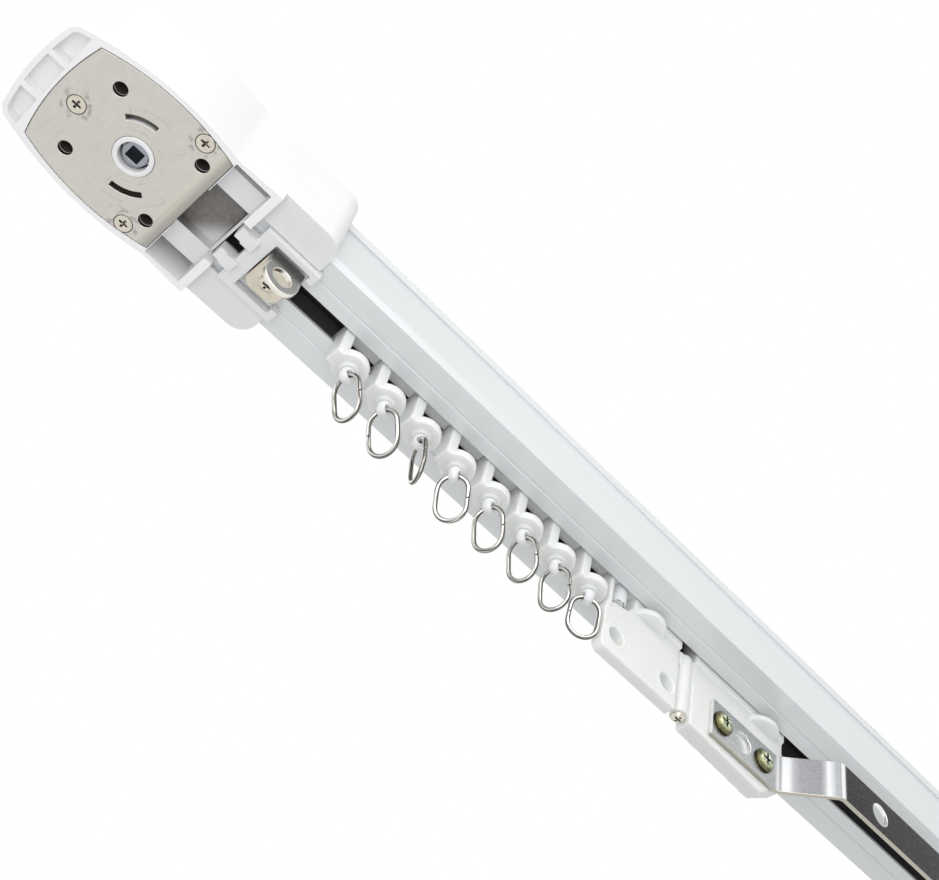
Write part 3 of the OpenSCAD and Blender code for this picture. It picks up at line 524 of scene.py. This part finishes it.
def housing_plastic(colours):
    """White moulding with painted shade in its hub cavity and motor holes, painted light brightening its rim and end
    pockets, and a brown-grey painted shadow across the floor of its bay.
    """
    mat, shader = moulded_plastic("housing_plastic", tuple(colours.housing), 0.4)
    x, y, z = places(mat)
    # Painted shade deep in the hub cavity and in the motor holes, behind the plate
    behind = z.above(-HEAD_DROP + 1.7)
    cavity_shade = distance(x, y, HUB).below(CAVITY_R)
    motor_hole_shade = distance(abs(x), abs(y), MOTOR_HOLE).below(MOTOR_R + 0.05)
    tint(mat, shader, cavity_shade.by("MAXIMUM", motor_hole_shade) * behind * z.below(20), tuple(colours.shade))
    floor = abs(y).below(BAY_HALF_W) * x.near(BAY_X, BAY_HALF) * z.above(-3.2, 1.2) * z.below(10)
    # Painted light: the end pockets and the rim by the plate are brightened
    lit_pockets = x.below(-25, 0.5) * z.above(-HEAD_DROP + 0.6, 0.3) * z.below(0)
    lit_rim = z.below(-HEAD_DROP + 0.25, 0.15)
    tint(mat, shader, lit_pockets.by("MAXIMUM", lit_rim), (0.93, 0.93, 0.94))
    # Painted shadow across the bay's floor: dark where x plus y is small, fading beyond, mottled by the grain
    grain = noise_field(mat, 700, detail=4)
    shadow = (x + y).ramp(32, 42, 1.0, 0.1)
    tint(mat, shader, floor * shadow * grain.ramp(0.2, 0.8, 0.9, 1.0), (0.17, 0.158, 0.148))
    return mat


def plate_steel(colours):
    """Nickelled sheet: fine mottle, painted shade in the gaps round the screws and the hub, scuffs and scratched
    outlines.

    Its end towards the bay gets a painted sheen band and then painted shade towards its edge, and the left arc slot's
    inner wall is painted pale and not metallic, as painted light.
    """
    mat, shader = drawn_metal("plate_steel", tuple(colours.steel), 0.4, (1, 0.25, 1), scale=900, contrast=0.07)
    x, y, z = places(mat)
    cloud = noise_field(mat, 60, detail=4)
    tint(mat, shader, cloud.ramp(0.45, 0.8, 0.0, 0.35), tuple(c * 1.06 for c in colours.steel))
    screw = nearest(x, y, PLATE_SCREWS)
    rough = noise_field(mat, 420, detail=6)
    ring = screw.near(4.0, 0.75, 0.9)
    tint(mat, shader, ring * rough.ramp(0.5, 0.62) * 0.75, (0.36, 0.35, 0.36))
    smear = screw.near(5.2, 1.6, 1.0)
    tint(mat, shader, smear * rough.ramp(0.58, 0.72) * 0.5, (0.45, 0.43, 0.36))
    hub = distance(x, y, HUB)
    turned = y.by("ARCTAN2", x)
    for side in (-1.6, 0.95):
        band = abs(hub - ARC_R) - 3.6
        along = abs((turned - side).by("WRAP", math.pi, -math.pi)) * ARC_R - 8.2
        edge = abs(band.by("MAXIMUM", along)).below(0.1, 0.12)
        tint(mat, shader, edge * rough.ramp(0.42, 0.6) * 0.5, (0.36, 0.33, 0.28))
    # Painted sheen: a cream band of painted highlight near the plate's bend towards the bay
    bend_sheen = x.near(17.6, 1.2, 1.2) * cloud.ramp(0.35, 0.6) * 0.45
    tint(mat, shader, bend_sheen, (0.74, 0.70, 0.58))
    # Painted shade darkening the plate towards its end at the bay
    tint(mat, shader, x.ramp(PLATE_END - 3.7, PLATE_END) * 0.5, (0.2, 0.195, 0.17))
    # Painted shade in the gaps round the screw heads and, fainter, round the hub
    gap = screw.near(SCREW_R, 0.13, 0.1).by("MAXIMUM", hub.near(HUB_R, 0.09, 0.08) * 0.6)
    tint(mat, shader, gap, (0.05, 0.04, 0.03))
    # Painted shade on the motor holes' walls behind the plate's face
    motor_hole_shade = distance(abs(x), abs(y), MOTOR_HOLE).below(MOTOR_R) * z.above(-HEAD_DROP + 0.5, 0.3)
    tint(mat, shader, motor_hole_shade, (0.06, 0.05, 0.045))
    # Painted light on the left arc slot's inner wall: pale and not metallic, so it shows lit instead of dark
    lit_cut_wall = hub.near(ARC_R - ARC_HALF_W, 0.1, 0.05) * y.below(0) * z.above(-HEAD_DROP + 0.06, 0.04)
    tint(mat, shader, lit_cut_wall, (0.85, 0.85, 0.86))
    link(mat, lit_cut_wall.ramp(0, 1, 1, 0).socket, shader.inputs["Metallic"])
    return mat


def holder_plastic():
    """Dark moulding with a grey side behind the plate's left arc slot."""
    mat, shader = moulded_plastic("holder_plastic", (0.03, 0.03, 0.033), 0.45)
    x, y, _ = places(mat)
    tint(mat, shader, distance(x, y, HUB).above(9.9, 0.1) * y.below(0), (0.62, 0.60, 0.57))
    return mat


def rail_coat(colours):
    """White coat with a painted highlight along its foot and painted shade in fine grooves on its sides, both fading
    away from the head, and painted shade turning it dark grey inside.
    """
    mat, shader = material("rail_coat", colours.rail, 0.32, 0.15)
    lines = object_noise(mat, 300, (0.01, 1, 1), detail=4)
    vary_colour(mat, shader, lines, tuple(c * 0.975 for c in colours.rail), tuple(colours.rail))
    x, y, z = places(mat)
    # Painted shade inside the rail, dark grey
    inside_shade = abs(y).below(RAIL_INNER_Y, 0.01) * z.above(1.1, 0.25) * z.below(21.9)
    tint(mat, shader, inside_shade, (0.20, 0.21, 0.215))
    tint(mat, shader, inside_shade * z.above(5, 2), (0.2, 0.2, 0.21))
    wall = abs(y).above(RAIL_WALL_Y)
    # Painted highlight along the foot of each side wall, fading away from the head
    foot_highlight = wall * z.below(3.6, 0.3) * x.ramp(150, 60)
    tint(mat, shader, foot_highlight, tuple(c * 1.09 for c in colours.rail))
    # Painted shade in fine grooves along the side walls, fading away from the head
    groove_shade = z.by("PINGPONG", 0.3).ramp(0.05, 0.25) * z.near(11.8, 7.9, 0.2) * x.ramp(170, 62)
    tint(mat, shader, wall * groove_shade * 0.75, tuple(c * 0.8 for c in colours.rail))
    vary_roughness(mat, shader, object_noise(mat, 30, (0.05, 1, 1)), 0.28, 0.4)
    add_bump(mat, shader, lines, 0.00002, 0.3)
    return mat


def screw_steel(name, colour, centres, plane, axis=2, reach=1.7, film_glint_and_rim_shade=False):
    """Plated screw with painted shade in its cross recess: within reach of its axis and deeper than its face."""
    mat, shader = drawn_metal(name, colour, 0.24, (1, 1, 1), scale=900, contrast=0.12)
    here = places(mat)
    depth = here.pop(axis)
    centre = nearest(*here, centres)
    if film_glint_and_rim_shade:
        film = noise_field(mat, 700, detail=3)
        tint(mat, shader, film.ramp(0.5, 0.62), (0.72, 0.74, 0.40))
        tint(mat, shader, film.ramp(0.62, 0.7) * 0.8, (0.32, 0.20, 0.22))
        tint(mat, shader, film.ramp(0.42, 0.34), (0.09, 0.20, 0.11))
        # Painted glint at the head's middle, and painted shade darkening its rim
        tint(mat, shader, centre.below(1.9, 0.5) * film.ramp(0.36, 0.5), (0.93, 0.93, 0.90))
        tint(mat, shader, centre.above(3.1, 0.5) * 0.85, (0.10, 0.085, 0.035))
    # Painted shade in the cross recess
    recess_shade = centre.below(reach, 0.05) * depth.above(plane + 0.12, 0.06)
    tint(mat, shader, recess_shade * noise_field(mat, 1500, detail=1).ramp(0.62, 0.52), tuple(c * 0.09 for c in colour))
    return mat


def ring_nickel(colours):
    """Bright nickel wire with painted reflections: light and dark streaks that its tone attribute gives."""
    mat, shader = material("ring_nickel", colours.nickel, 0.16, 1.0)
    tone = add(mat, "ShaderNodeAttribute", attribute_name="tone")
    ramp = add(mat, "ShaderNodeValToRGB")
    stops = ramp.color_ramp.elements
    # Painted reflections: near black for the dark bands, near white for the highlights, dim nickel between
    stops[0].color = (0.045, 0.042, 0.04, 1)
    stops[1].color = (0.92, 0.90, 0.86, 1)
    middle = stops.new(0.5)
    middle.color = (*[c * 0.42 for c in colours.nickel], 1)
    link(mat, tone.outputs["Fac"], ramp.inputs["Fac"])
    link(mat, ramp.outputs["Color"], shader.inputs["Base Color"])
    vary_roughness(mat, shader, object_noise(mat, 300), 0.1, 0.24)
    add_bump(mat, shader, object_noise(mat, 1800, detail=4), 0.00002, 0.25)
    return mat


def arm_zinc(colours):
    """Zinc-plated strip: grainy grey at its base, painted highlights at its bends and painted dark reflection beyond,
    with painted highlights on its hole walls and end.
    """
    mat, shader = material("arm_zinc", colours.zinc, 0.24, 1.0)
    x, y, z = places(mat)
    # Painted reflections: grey level along the bends, from the table above
    along = x.ramp(ARM_BEND_X + BEND_RUN[0], ARM_BEND_X + BEND_RUN[1])
    along.socket.node.interpolation_type = "LINEAR"
    ramp = add(mat, "ShaderNodeValToRGB")
    stops = ramp.color_ramp.elements
    while len(stops) > 1:
        stops.remove(stops[-1])
    for k, (place, tone) in enumerate(ARM_PAINTED_REFLECTIONS):
        stop = stops[0] if k == 0 else stops.new(place)
        stop.position = place
        stop.color = (tone, tone * 1.01, tone * 1.03, 1)
    link(mat, along.socket, ramp.inputs["Fac"])
    link(mat, ramp.outputs["Color"], shader.inputs["Base Color"])
    grain = noise_field(mat, 2200, detail=5)
    cloud = noise_field(mat, 260, detail=4)
    far = x.above(ARM_BEND_X + 16.2, 0.4)
    tint(mat, shader, grain.ramp(0.58, 0.7) * 0.4 * far, (0.32, 0.34, 0.36))
    behind = x.above(ARM_BEND_X + 12, 1.5) * y.above(ARM_FAR_FACE + 0.9, 0.3)
    tint(mat, shader, behind, tuple(colours.zinc))
    middle = x.near(ARM_BEND_X + 7, 3.4, 1.2)
    tint(mat, shader, grain.ramp(0.4, 0.66) * 0.4 * middle, (0.62, 0.62, 0.66))
    base = x.below(ARM_BEND_X - 1, 0.6)
    tint(mat, shader, base * cloud.ramp(0.3, 0.7, 0.25, 0.7), (0.50, 0.54, 0.52))
    tint(mat, shader, grain.ramp(0.56, 0.7) * base * 0.7, (0.80, 0.83, 0.80))
    tint(mat, shader, grain.ramp(0.42, 0.34) * base * 0.6, (0.24, 0.25, 0.25))
    # Painted shade in a dark ring round each screw head on the arm's base
    screw = nearest(x, z, ARM_SCREWS)
    tint(mat, shader, screw.near(4.15, 0.3, 0.25) * base * 0.85, (0.06, 0.055, 0.04))
    # Painted highlights on the hole walls and the strip's end face
    tint(mat, shader, nearest(x, z, ARM_HOLES).below(ARM_HOLE_R, 0.05), (0.92, 0.92, 0.90))
    tint(mat, shader, x.below(ARM_START + 0.25, 0.1), (0.90, 0.90, 0.88))
    tint(mat, shader, z.below(ARM_LOW + 0.25, 0.1), (0.50, 0.47, 0.41))
    vary_roughness(mat, shader, object_noise(mat, 500, detail=4), 0.2, 0.4)
    add_bump(mat, shader, object_noise(mat, 2200, detail=5), 0.00003, 0.4)
    return mat


def bracket_nickel():
    """Cream nickel on the bracket's base, painted shade turning its tab grey, painted highlights on rims round the tab
    and its hole, and painted shade on the hole's left wall.
    """
    mat, shader = drawn_metal("bracket_nickel", (0.74, 0.69, 0.58), 0.28, (1, 1, 1), scale=260, contrast=0.16)
    x, y, z = places(mat)
    # Painted shade: the tab's face is turned grey
    tint(mat, shader, y.below(TAB_FACE, 0.1), (0.40, 0.40, 0.38))
    hole = distance(x, z, TAB_HOLE)
    # Painted highlights on the rims round the hole and the tab
    lit_rim = hole.near(3.3, 0.3, 0.1).by("MAXIMUM", hole.near(6.1, 0.25, 0.1) * z.below(-8, 2))
    tint(mat, shader, lit_rim, (0.88, 0.85, 0.78))
    # Painted shade on the hole's left wall
    tint(mat, shader, hole.below(3.22, 0.02) * x.below(TAB_HOLE[0] - 0.5, 0.8), (0.10, 0.085, 0.07))
    return mat


_made = {}


def finishes():
    """Every finish of the track, made once."""
    if _made:
        return _made
    c = bpy.context.scene.track_colours
    warm = (0.74, 0.70, 0.60)
    _made["housing"] = housing_plastic(c)
    _made["nylon"] = moulded_plastic("glider_nylon", tuple(c.nylon), 0.36, translucent=0.85)[0]
    _made["eye"] = moulded_plastic("eye_nylon", tuple(c.eye), 0.32, translucent=0.6)[0]
    _made["clip"] = moulded_plastic("clip_plastic", tuple(c.housing), 0.36)[0]
    _made["bush"] = moulded_plastic("bush_plastic", (0.86, 0.86, 0.87), 0.3)[0]
    _made["dark"] = moulded_plastic("pulley_plastic", (0.03, 0.03, 0.033), 0.45)[0]
    _made["belt"] = moulded_plastic("belt_rubber", (0.16, 0.16, 0.17), 0.4)[0]
    _made["rail"] = rail_coat(c)
    _made["plate"] = plate_steel(c)
    _made["holder"] = holder_plastic()
    _made["end_plate"] = drawn_metal("end_plate_steel", tuple(c.steel), 0.4, (1, 0.25, 1), scale=900)[0]
    _made["plate_screw"] = screw_steel("plate_screw_steel", warm, PLATE_SCREWS, -HEAD_DROP)
    _made["bracket_screw"] = screw_steel("bracket_screw_steel", warm, BRACKET_SCREW, -4.4)
    _made["carrier_screw"] = screw_steel("carrier_screw_steel", warm, CARRIER_SCREW, -30, reach=1.4)
    _made["zinc_screw"] = screw_steel(
        "arm_screw_zinc", (0.50, 0.55, 0.36), ARM_SCREWS, ARM_FACE - 2.2, axis=1, reach=1.7, film_glint_and_rim_shade=True
    )
    _made["return_screw"] = screw_steel("return_screw_steel", warm, RETURN_SCREWS, -1.5, reach=1.4)
    _made["nut"] = drawn_metal("nut_steel", (0.6, 0.58, 0.52), 0.3, (1, 1, 1), scale=600)[0]
    _made["bracket"] = bracket_nickel()
    _made["ring"] = ring_nickel(c)
    _made["arm"] = arm_zinc(c)
    _made["shaft"] = drawn_metal("shaft_steel", (0.40, 0.42, 0.46), 0.4, (1, 1, 1), scale=500)[0]
    _made["bearing"] = drawn_metal("bearing_steel", (0.6, 0.61, 0.63), 0.25, (1, 1, 0.1), scale=400)[0]
    return _made


# Operators, one for each group of pieces


class TRACK_OT_stage(bpy.types.Operator):
    """Camera, lamps, world and a pale floor"""

    bl_idname = "track.stage"
    bl_label = "Stage"

    def execute(self, context):
        scene = context.scene
        scene.view_settings.view_transform = "Standard"
        camera = bpy.data.objects.new("camera", bpy.data.cameras.new("camera"))
        scene.collection.objects.link(camera)
        scene.camera = camera
        # The photograph's viewpoint: below the rail, near the drive head, looking up along the underside
        right, up, back = (
            (0.690275, -0.701602, 0.176850),
            (-0.644572, -0.485239, 0.590823),
            (-0.328707, -0.521821, -0.787181),
        )
        camera.matrix_world = Matrix.Translation((-0.35439, -0.24454, -0.38535)) @ Matrix(
            (right, up, back)
        ).transposed().to_4x4()
        camera.data.sensor_width = 36
        camera.data.lens = 56.03
        camera.data.clip_start = 0.01
        self.lamps(scene)
        self.floor(scene)
        self.world(scene)
        return {"FINISHED"}

    @staticmethod
    def lamps(scene):
        """A key in front of the drive head, a fill from the left end and a weak lamp below."""
        for name, place, aim, size, power in (
            ("key", (-0.6, -0.85, 0.12), (-0.28, 0, 0), 0.8, 3.2),
            ("end", (-1.4, -0.5, -0.1), (-0.2, 0, 0), 0.8, 2.5),
            ("under", (-0.45, -0.3, -0.45), (-0.3, 0, -0.03), 0.4, 1.0),
        ):
            lamp = bpy.data.lights.new(name, "AREA")
            lamp.size = size
            lamp.energy = power
            thing = bpy.data.objects.new(name, lamp)
            scene.collection.objects.link(thing)
            thing.location = place
            thing.rotation_euler = (Vector(aim) - Vector(place)).to_track_quat("-Z", "Y").to_euler()

    @staticmethod
    def floor(scene):
        """A pale floor far below the track: it keeps its shadow, and is nearly white to the camera, white in metal."""
        size, drop = 5.0, -1.8
        corners = [(-size, -size, drop), (size, -size, drop), (size, size, drop), (-size, size, drop)]
        floor = new_piece("floor", corners, [(0, 1, 2, 3)])
        mat, shader = material("floor_paper", (0.82, 0.82, 0.82), 0.9)
        path = add(mat, "ShaderNodeLightPath")
        seen = add(mat, "ShaderNodeMath", operation="MULTIPLY")
        seen.inputs[1].default_value = FLOOR_WHITE
        mirrored = add(mat, "ShaderNodeMath", operation="MAXIMUM")
        either = add(mat, "ShaderNodeMath", operation="MAXIMUM")
        white = add(mat, "ShaderNodeEmission")
        mix = add(mat, "ShaderNodeMixShader")
        link(mat, path.outputs["Is Glossy Ray"], mirrored.inputs[0])
        link(mat, path.outputs["Is Transmission Ray"], mirrored.inputs[1])
        link(mat, path.outputs["Is Camera Ray"], seen.inputs[0])
        link(mat, mirrored.outputs[0], either.inputs[0])
        link(mat, seen.outputs[0], either.inputs[1])
        link(mat, either.outputs[0], mix.inputs[0])
        link(mat, shader.outputs[0], mix.inputs[1])
        link(mat, white.outputs[0], mix.inputs[2])
        link(mat, mix.outputs[0], mat.node_tree.nodes["Material Output"].inputs["Surface"])
        floor.data.materials.append(mat)

    @staticmethod
    def world(scene):
        """White to the camera and in mirrors, and a plain soft light for the rest."""
        world = bpy.data.worlds.new("room")
        scene.world = world
        world.use_nodes = True
        tree = world.node_tree
        path = tree.nodes.new("ShaderNodeLightPath")
        seen = path.outputs["Is Camera Ray"]
        for kind in ("Is Glossy Ray", "Is Transmission Ray"):
            either = tree.nodes.new("ShaderNodeMath")
            either.operation = "MAXIMUM"
            tree.links.new(seen, either.inputs[0])
            tree.links.new(path.outputs[kind], either.inputs[1])
            seen = either.outputs[0]
        mix = tree.nodes.new("ShaderNodeMix")
        mix.inputs[2].default_value = 0.72
        mix.inputs[3].default_value = 1.0
        tree.links.new(seen, mix.inputs[0])
        tree.links.new(mix.outputs[0], tree.nodes["Background"].inputs["Strength"])
        tree.nodes["Background"].inputs["Color"].default_value = (1, 1, 1, 1)


class TRACK_OT_rail(bpy.types.Operator):
    """Rail and belt"""

    bl_idname = "track.rail"
    bl_label = "Rail and belt"

    def execute(self, context):
        sizes = context.scene.track_sizes
        dress("rail", finishes()["rail"], sizes.metal_edge)
        dress("drive_belt", finishes()["belt"], sizes.metal_edge)
        return {"FINISHED"}


class TRACK_OT_drive_head(bpy.types.Operator):
    """Drive head: housing, base plate, hub, pulley, bearings and screws"""

    bl_idname = "track.drive_head"
    bl_label = "Drive head"

    def execute(self, context):
        sizes = context.scene.track_sizes
        made = finishes()
        dress("gear_housing", made["housing"], sizes.edge, clamp=True)
        dress("base_plate", made["plate"], sizes.metal_edge, 2)
        dress("plate_screws", made["plate_screw"], 0.1 * MM, 2)
        dress("hub_bush", made["bush"], 0.3 * MM)
        dress("bearing_holder", made["holder"], 0.2 * MM)
        for node in ("lower_bearing", "upper_bearing"):
            dress(node, made["bearing"], 0.1 * MM)
        dress("drive_pulley", made["dark"], 0.1 * MM)
        dress("drive_shaft", made["shaft"], 0.2 * MM)
        return {"FINISHED"}


class TRACK_OT_lock(bpy.types.Operator):
    """Lock clip, bracket, its screw and nut"""

    bl_idname = "track.lock"
    bl_label = "Lock clip and bracket"

    def execute(self, context):
        made = finishes()
        dress("lock_clip", made["clip"], 0.3 * MM)
        dress("lock_bracket", made["bracket"], 0.25 * MM)
        dress("bracket_screw", made["bracket_screw"], 0.12 * MM, 2)
        dress("rail_nut", made["nut"], 0.2 * MM)
        return {"FINISHED"}


class TRACK_OT_gliders(bpy.types.Operator):
    """Gliders, swivel eyes and rings"""

    bl_idname = "track.gliders"
    bl_label = "Gliders and rings"

    def execute(self, context):
        sizes = context.scene.track_sizes
        made = finishes()
        first = self.shoe(sizes)
        dressed(first, "glider_1", made["nylon"])
        for n in GLIDERS:
            if n > 1:
                moved = shifted(first, f"glider_{n}_finished", (n - 1) * GLIDER_PITCH)
                dressed(moved, f"glider_{n}", made["nylon"])
            soften(f"swivel_eye_{n}", made["eye"], sizes.soft_grain * 0.7, 4)
            dressed(self.wire_ring(n, sizes), f"ring_{n}", made["ring"])
        return {"FINISHED"}

    @staticmethod
    def shoe(sizes):
        """The first glider, from its runner inside the rail to the disc under it, melted into one form."""
        parts = (
            block((-7.2, -6.6, 2.0), (-3.4, 6.6, 5.8)),
            block((-7.2, -2.7, 4.1), (8.28, 2.7, 5.8)),
            block((-7.2, -3.35, -10.4), (-3.5, 3.35, 5.0)),
            block((-7.3, -3.0, -10.6), (0, 3.0, -7.7)),
            post(5.95, -10.58, -7.58),
            post(3.0, -11.5, -10.0),
        )
        return melted(joined("glider_1_finished", parts, (GLIDER_X, 0, -RAIL_H)), sizes.soft_grain, 14)

    @staticmethod
    def wire_ring(n, sizes):
        """A ring bent from wire, hung in its eye. Its tone attribute holds painted reflections: light and dark streaks
        round and along the wire.

        The wire's path in the ring's plane is two straight sides and two half circles, walked from one
        end of the wire to the other: up one side, over the eye, down the other side and round the foot.
        Even steps and a short running mean take the corners out of it.
        """
        bend = sizes.ring_w / 2
        side = sizes.ring_len - sizes.ring_w
        turn = np.linspace(0, np.pi, 64)
        half = np.linspace(0, 1, 14)[1:-1]
        over = np.stack([-bend * np.cos(turn), bend * np.sin(turn) - bend], -1)
        down = np.stack([np.full(12, bend), -bend - side * half], -1)
        foot_highlight = np.stack([bend * np.cos(turn), -bend - side - bend * np.sin(turn)], -1)
        gap = sizes.ring_gap / 2
        middle = -bend - side / 2
        first = np.stack([np.full(8, -bend), np.linspace(middle + gap, -bend, 9)[:-1]], -1)
        last = np.stack([np.full(8, -bend), np.linspace(-bend - side, middle - gap, 9)[1:]], -1)
        flat = np.concatenate([first, over, down, foot_highlight, last])
        walked = np.insert(np.cumsum(np.linalg.norm(np.diff(flat, axis=0), axis=1)), 0, 0)
        even = np.linspace(0, walked[-1], WIRE_STEPS)
        flat = np.stack([np.interp(even, walked, flat[:, k]) for k in (0, 1)], -1)
        weights = np.hanning(WIRE_MEAN) / np.hanning(WIRE_MEAN).sum()
        reach = WIRE_MEAN // 2
        flat[reach:-reach] = np.stack([np.convolve(flat[:, k], weights, "valid") for k in (0, 1)], -1)
        mirror = -1 if n in RINGS_TURNED_ROUND else 1
        path = np.stack([np.zeros(len(flat)), mirror * flat[:, 0], flat[:, 1] + 0.1 * MM], -1)
        swing = np.array(Matrix.Rotation(math.radians(-RING_SWING[n - 1]), 3, "Y"))
        swivel = np.array(Matrix.Rotation(math.radians(EYE_TURN[n - 1]), 3, "Z"))
        pose = swivel @ swing
        origin = np.array((GLIDER_X + (n - 1) * GLIDER_PITCH, 0, -RAIL_H - EYE_DROP))
        ends = np.full(len(path), sizes.wire_r)
        ends[[0, -1]] *= 0.82
        points, faces = tube(path @ pose.T + origin, ends, pose[:, 0], WIRE_SIDES)
        piece = outwards(new_piece(f"ring_{n}_finished", points, faces))
        around = np.linspace(0, 2 * np.pi, WIRE_SIDES, endpoint=False)[None, :]
        along = np.linspace(0, 2 * np.pi, len(path))[:, None]
        waver = 0.3 * np.sin(2 * along + n) + 0.15 * np.sin(5 * along + 2 * n)

        def reflection_band(centre, width):
            turned = (around - centre - waver + np.pi) % (2 * np.pi) - np.pi
            return np.exp(-((turned / width) ** 2))

        # Painted reflections: bright on the wire's two faces, darker at its side and in narrow dark bands round it
        tone = 0.36 + 0.54 * np.abs(np.sin(around)) ** 1.5 - 0.35 * reflection_band(0, 0.35)
        tone -= 0.9 * (reflection_band(np.pi - 0.8, 0.24) + reflection_band(-np.pi + 0.8, 0.24) + reflection_band(-0.7, 0.18))
        painted_reflections = piece.data.attributes.new("tone", "FLOAT", "POINT")
        painted_reflections.data.foreach_set("value", np.clip(tone, 0, 1).ravel())
        return piece


class TRACK_OT_carrier(bpy.types.Operator):
    """Master carrier with its wheels, clamp and overlap arm"""

    bl_idname = "track.carrier"
    bl_label = "Master carrier and arm"

    def execute(self, context):
        sizes = context.scene.track_sizes
        made = finishes()
        soften("carrier_front", made["nylon"], sizes.soft_grain * 1.2, 6)
        soften("carrier_rear", made["nylon"], sizes.soft_grain * 1.35, 5)
        dress("carrier_pin", made["eye"], 0.3 * MM)
        dress("carrier_screw", made["carrier_screw"], 0.12 * MM, 2)
        dress("belt_clamp", made["dark"], 0.2 * MM)
        for node in ("front_axle", "rear_axle"):
            dress(node, made["bearing"], 0.1 * MM)
        for node in ("front_wheels", "rear_wheels"):
            dress(node, made["nylon"], 0.2 * MM)
        dress("overlap_arm", made["arm"], 0.22 * MM)
        dress("arm_screws", made["zinc_screw"], 0.25 * MM, 3)
        return {"FINISHED"}


class TRACK_OT_return_unit(bpy.types.Operator):
    """Return unit with its plate, axle, idler and screws"""

    bl_idname = "track.return_unit"
    bl_label = "Return unit"

    def execute(self, context):
        sizes = context.scene.track_sizes
        made = finishes()
        dress("return_housing", made["clip"], sizes.edge, clamp=True)
        dress("return_plate", made["end_plate"], sizes.metal_edge, 2)
        dress("return_screws", made["return_screw"], 0.1 * MM, 2)
        dress("idler_axle", made["bearing"], 0.1 * MM)
        dress("idler_pulley", made["dark"], 0.1 * MM)
        return {"FINISHED"}


OPERATORS = (
    TRACK_OT_stage,
    TRACK_OT_rail,
    TRACK_OT_drive_head,
    TRACK_OT_lock,
    TRACK_OT_gliders,
    TRACK_OT_carrier,
    TRACK_OT_return_unit,
)


class TRACK_PT_panel(bpy.types.Panel):
    """Lists the operators that build the track"""

    bl_idname = "TRACK_PT_panel"
    bl_label = "Curtain Track"
    bl_space_type = "VIEW_3D"
    bl_region_type = "UI"
    bl_category = "Curtain Track"

    def draw(self, context):
        for operator in OPERATORS:
            self.layout.operator(operator.bl_idname)


CLASSES = (TrackSizes, TrackColours, *OPERATORS, TRACK_PT_panel)


def register():
    for cls in CLASSES:
        bpy.utils.register_class(cls)
    bpy.types.Scene.track_sizes = PointerProperty(type=TrackSizes)
    bpy.types.Scene.track_colours = PointerProperty(type=TrackColours)


def unregister():
    del bpy.types.Scene.track_colours
    del bpy.types.Scene.track_sizes
    for cls in reversed(CLASSES):
        bpy.utils.unregister_class(cls)


def main():
    """Builds everything in order."""
    register()
    for operator in OPERATORS:
        group, name = operator.bl_idname.split(".")
        getattr(getattr(bpy.ops, group), name)()


if __name__ == "__main__":
    main()
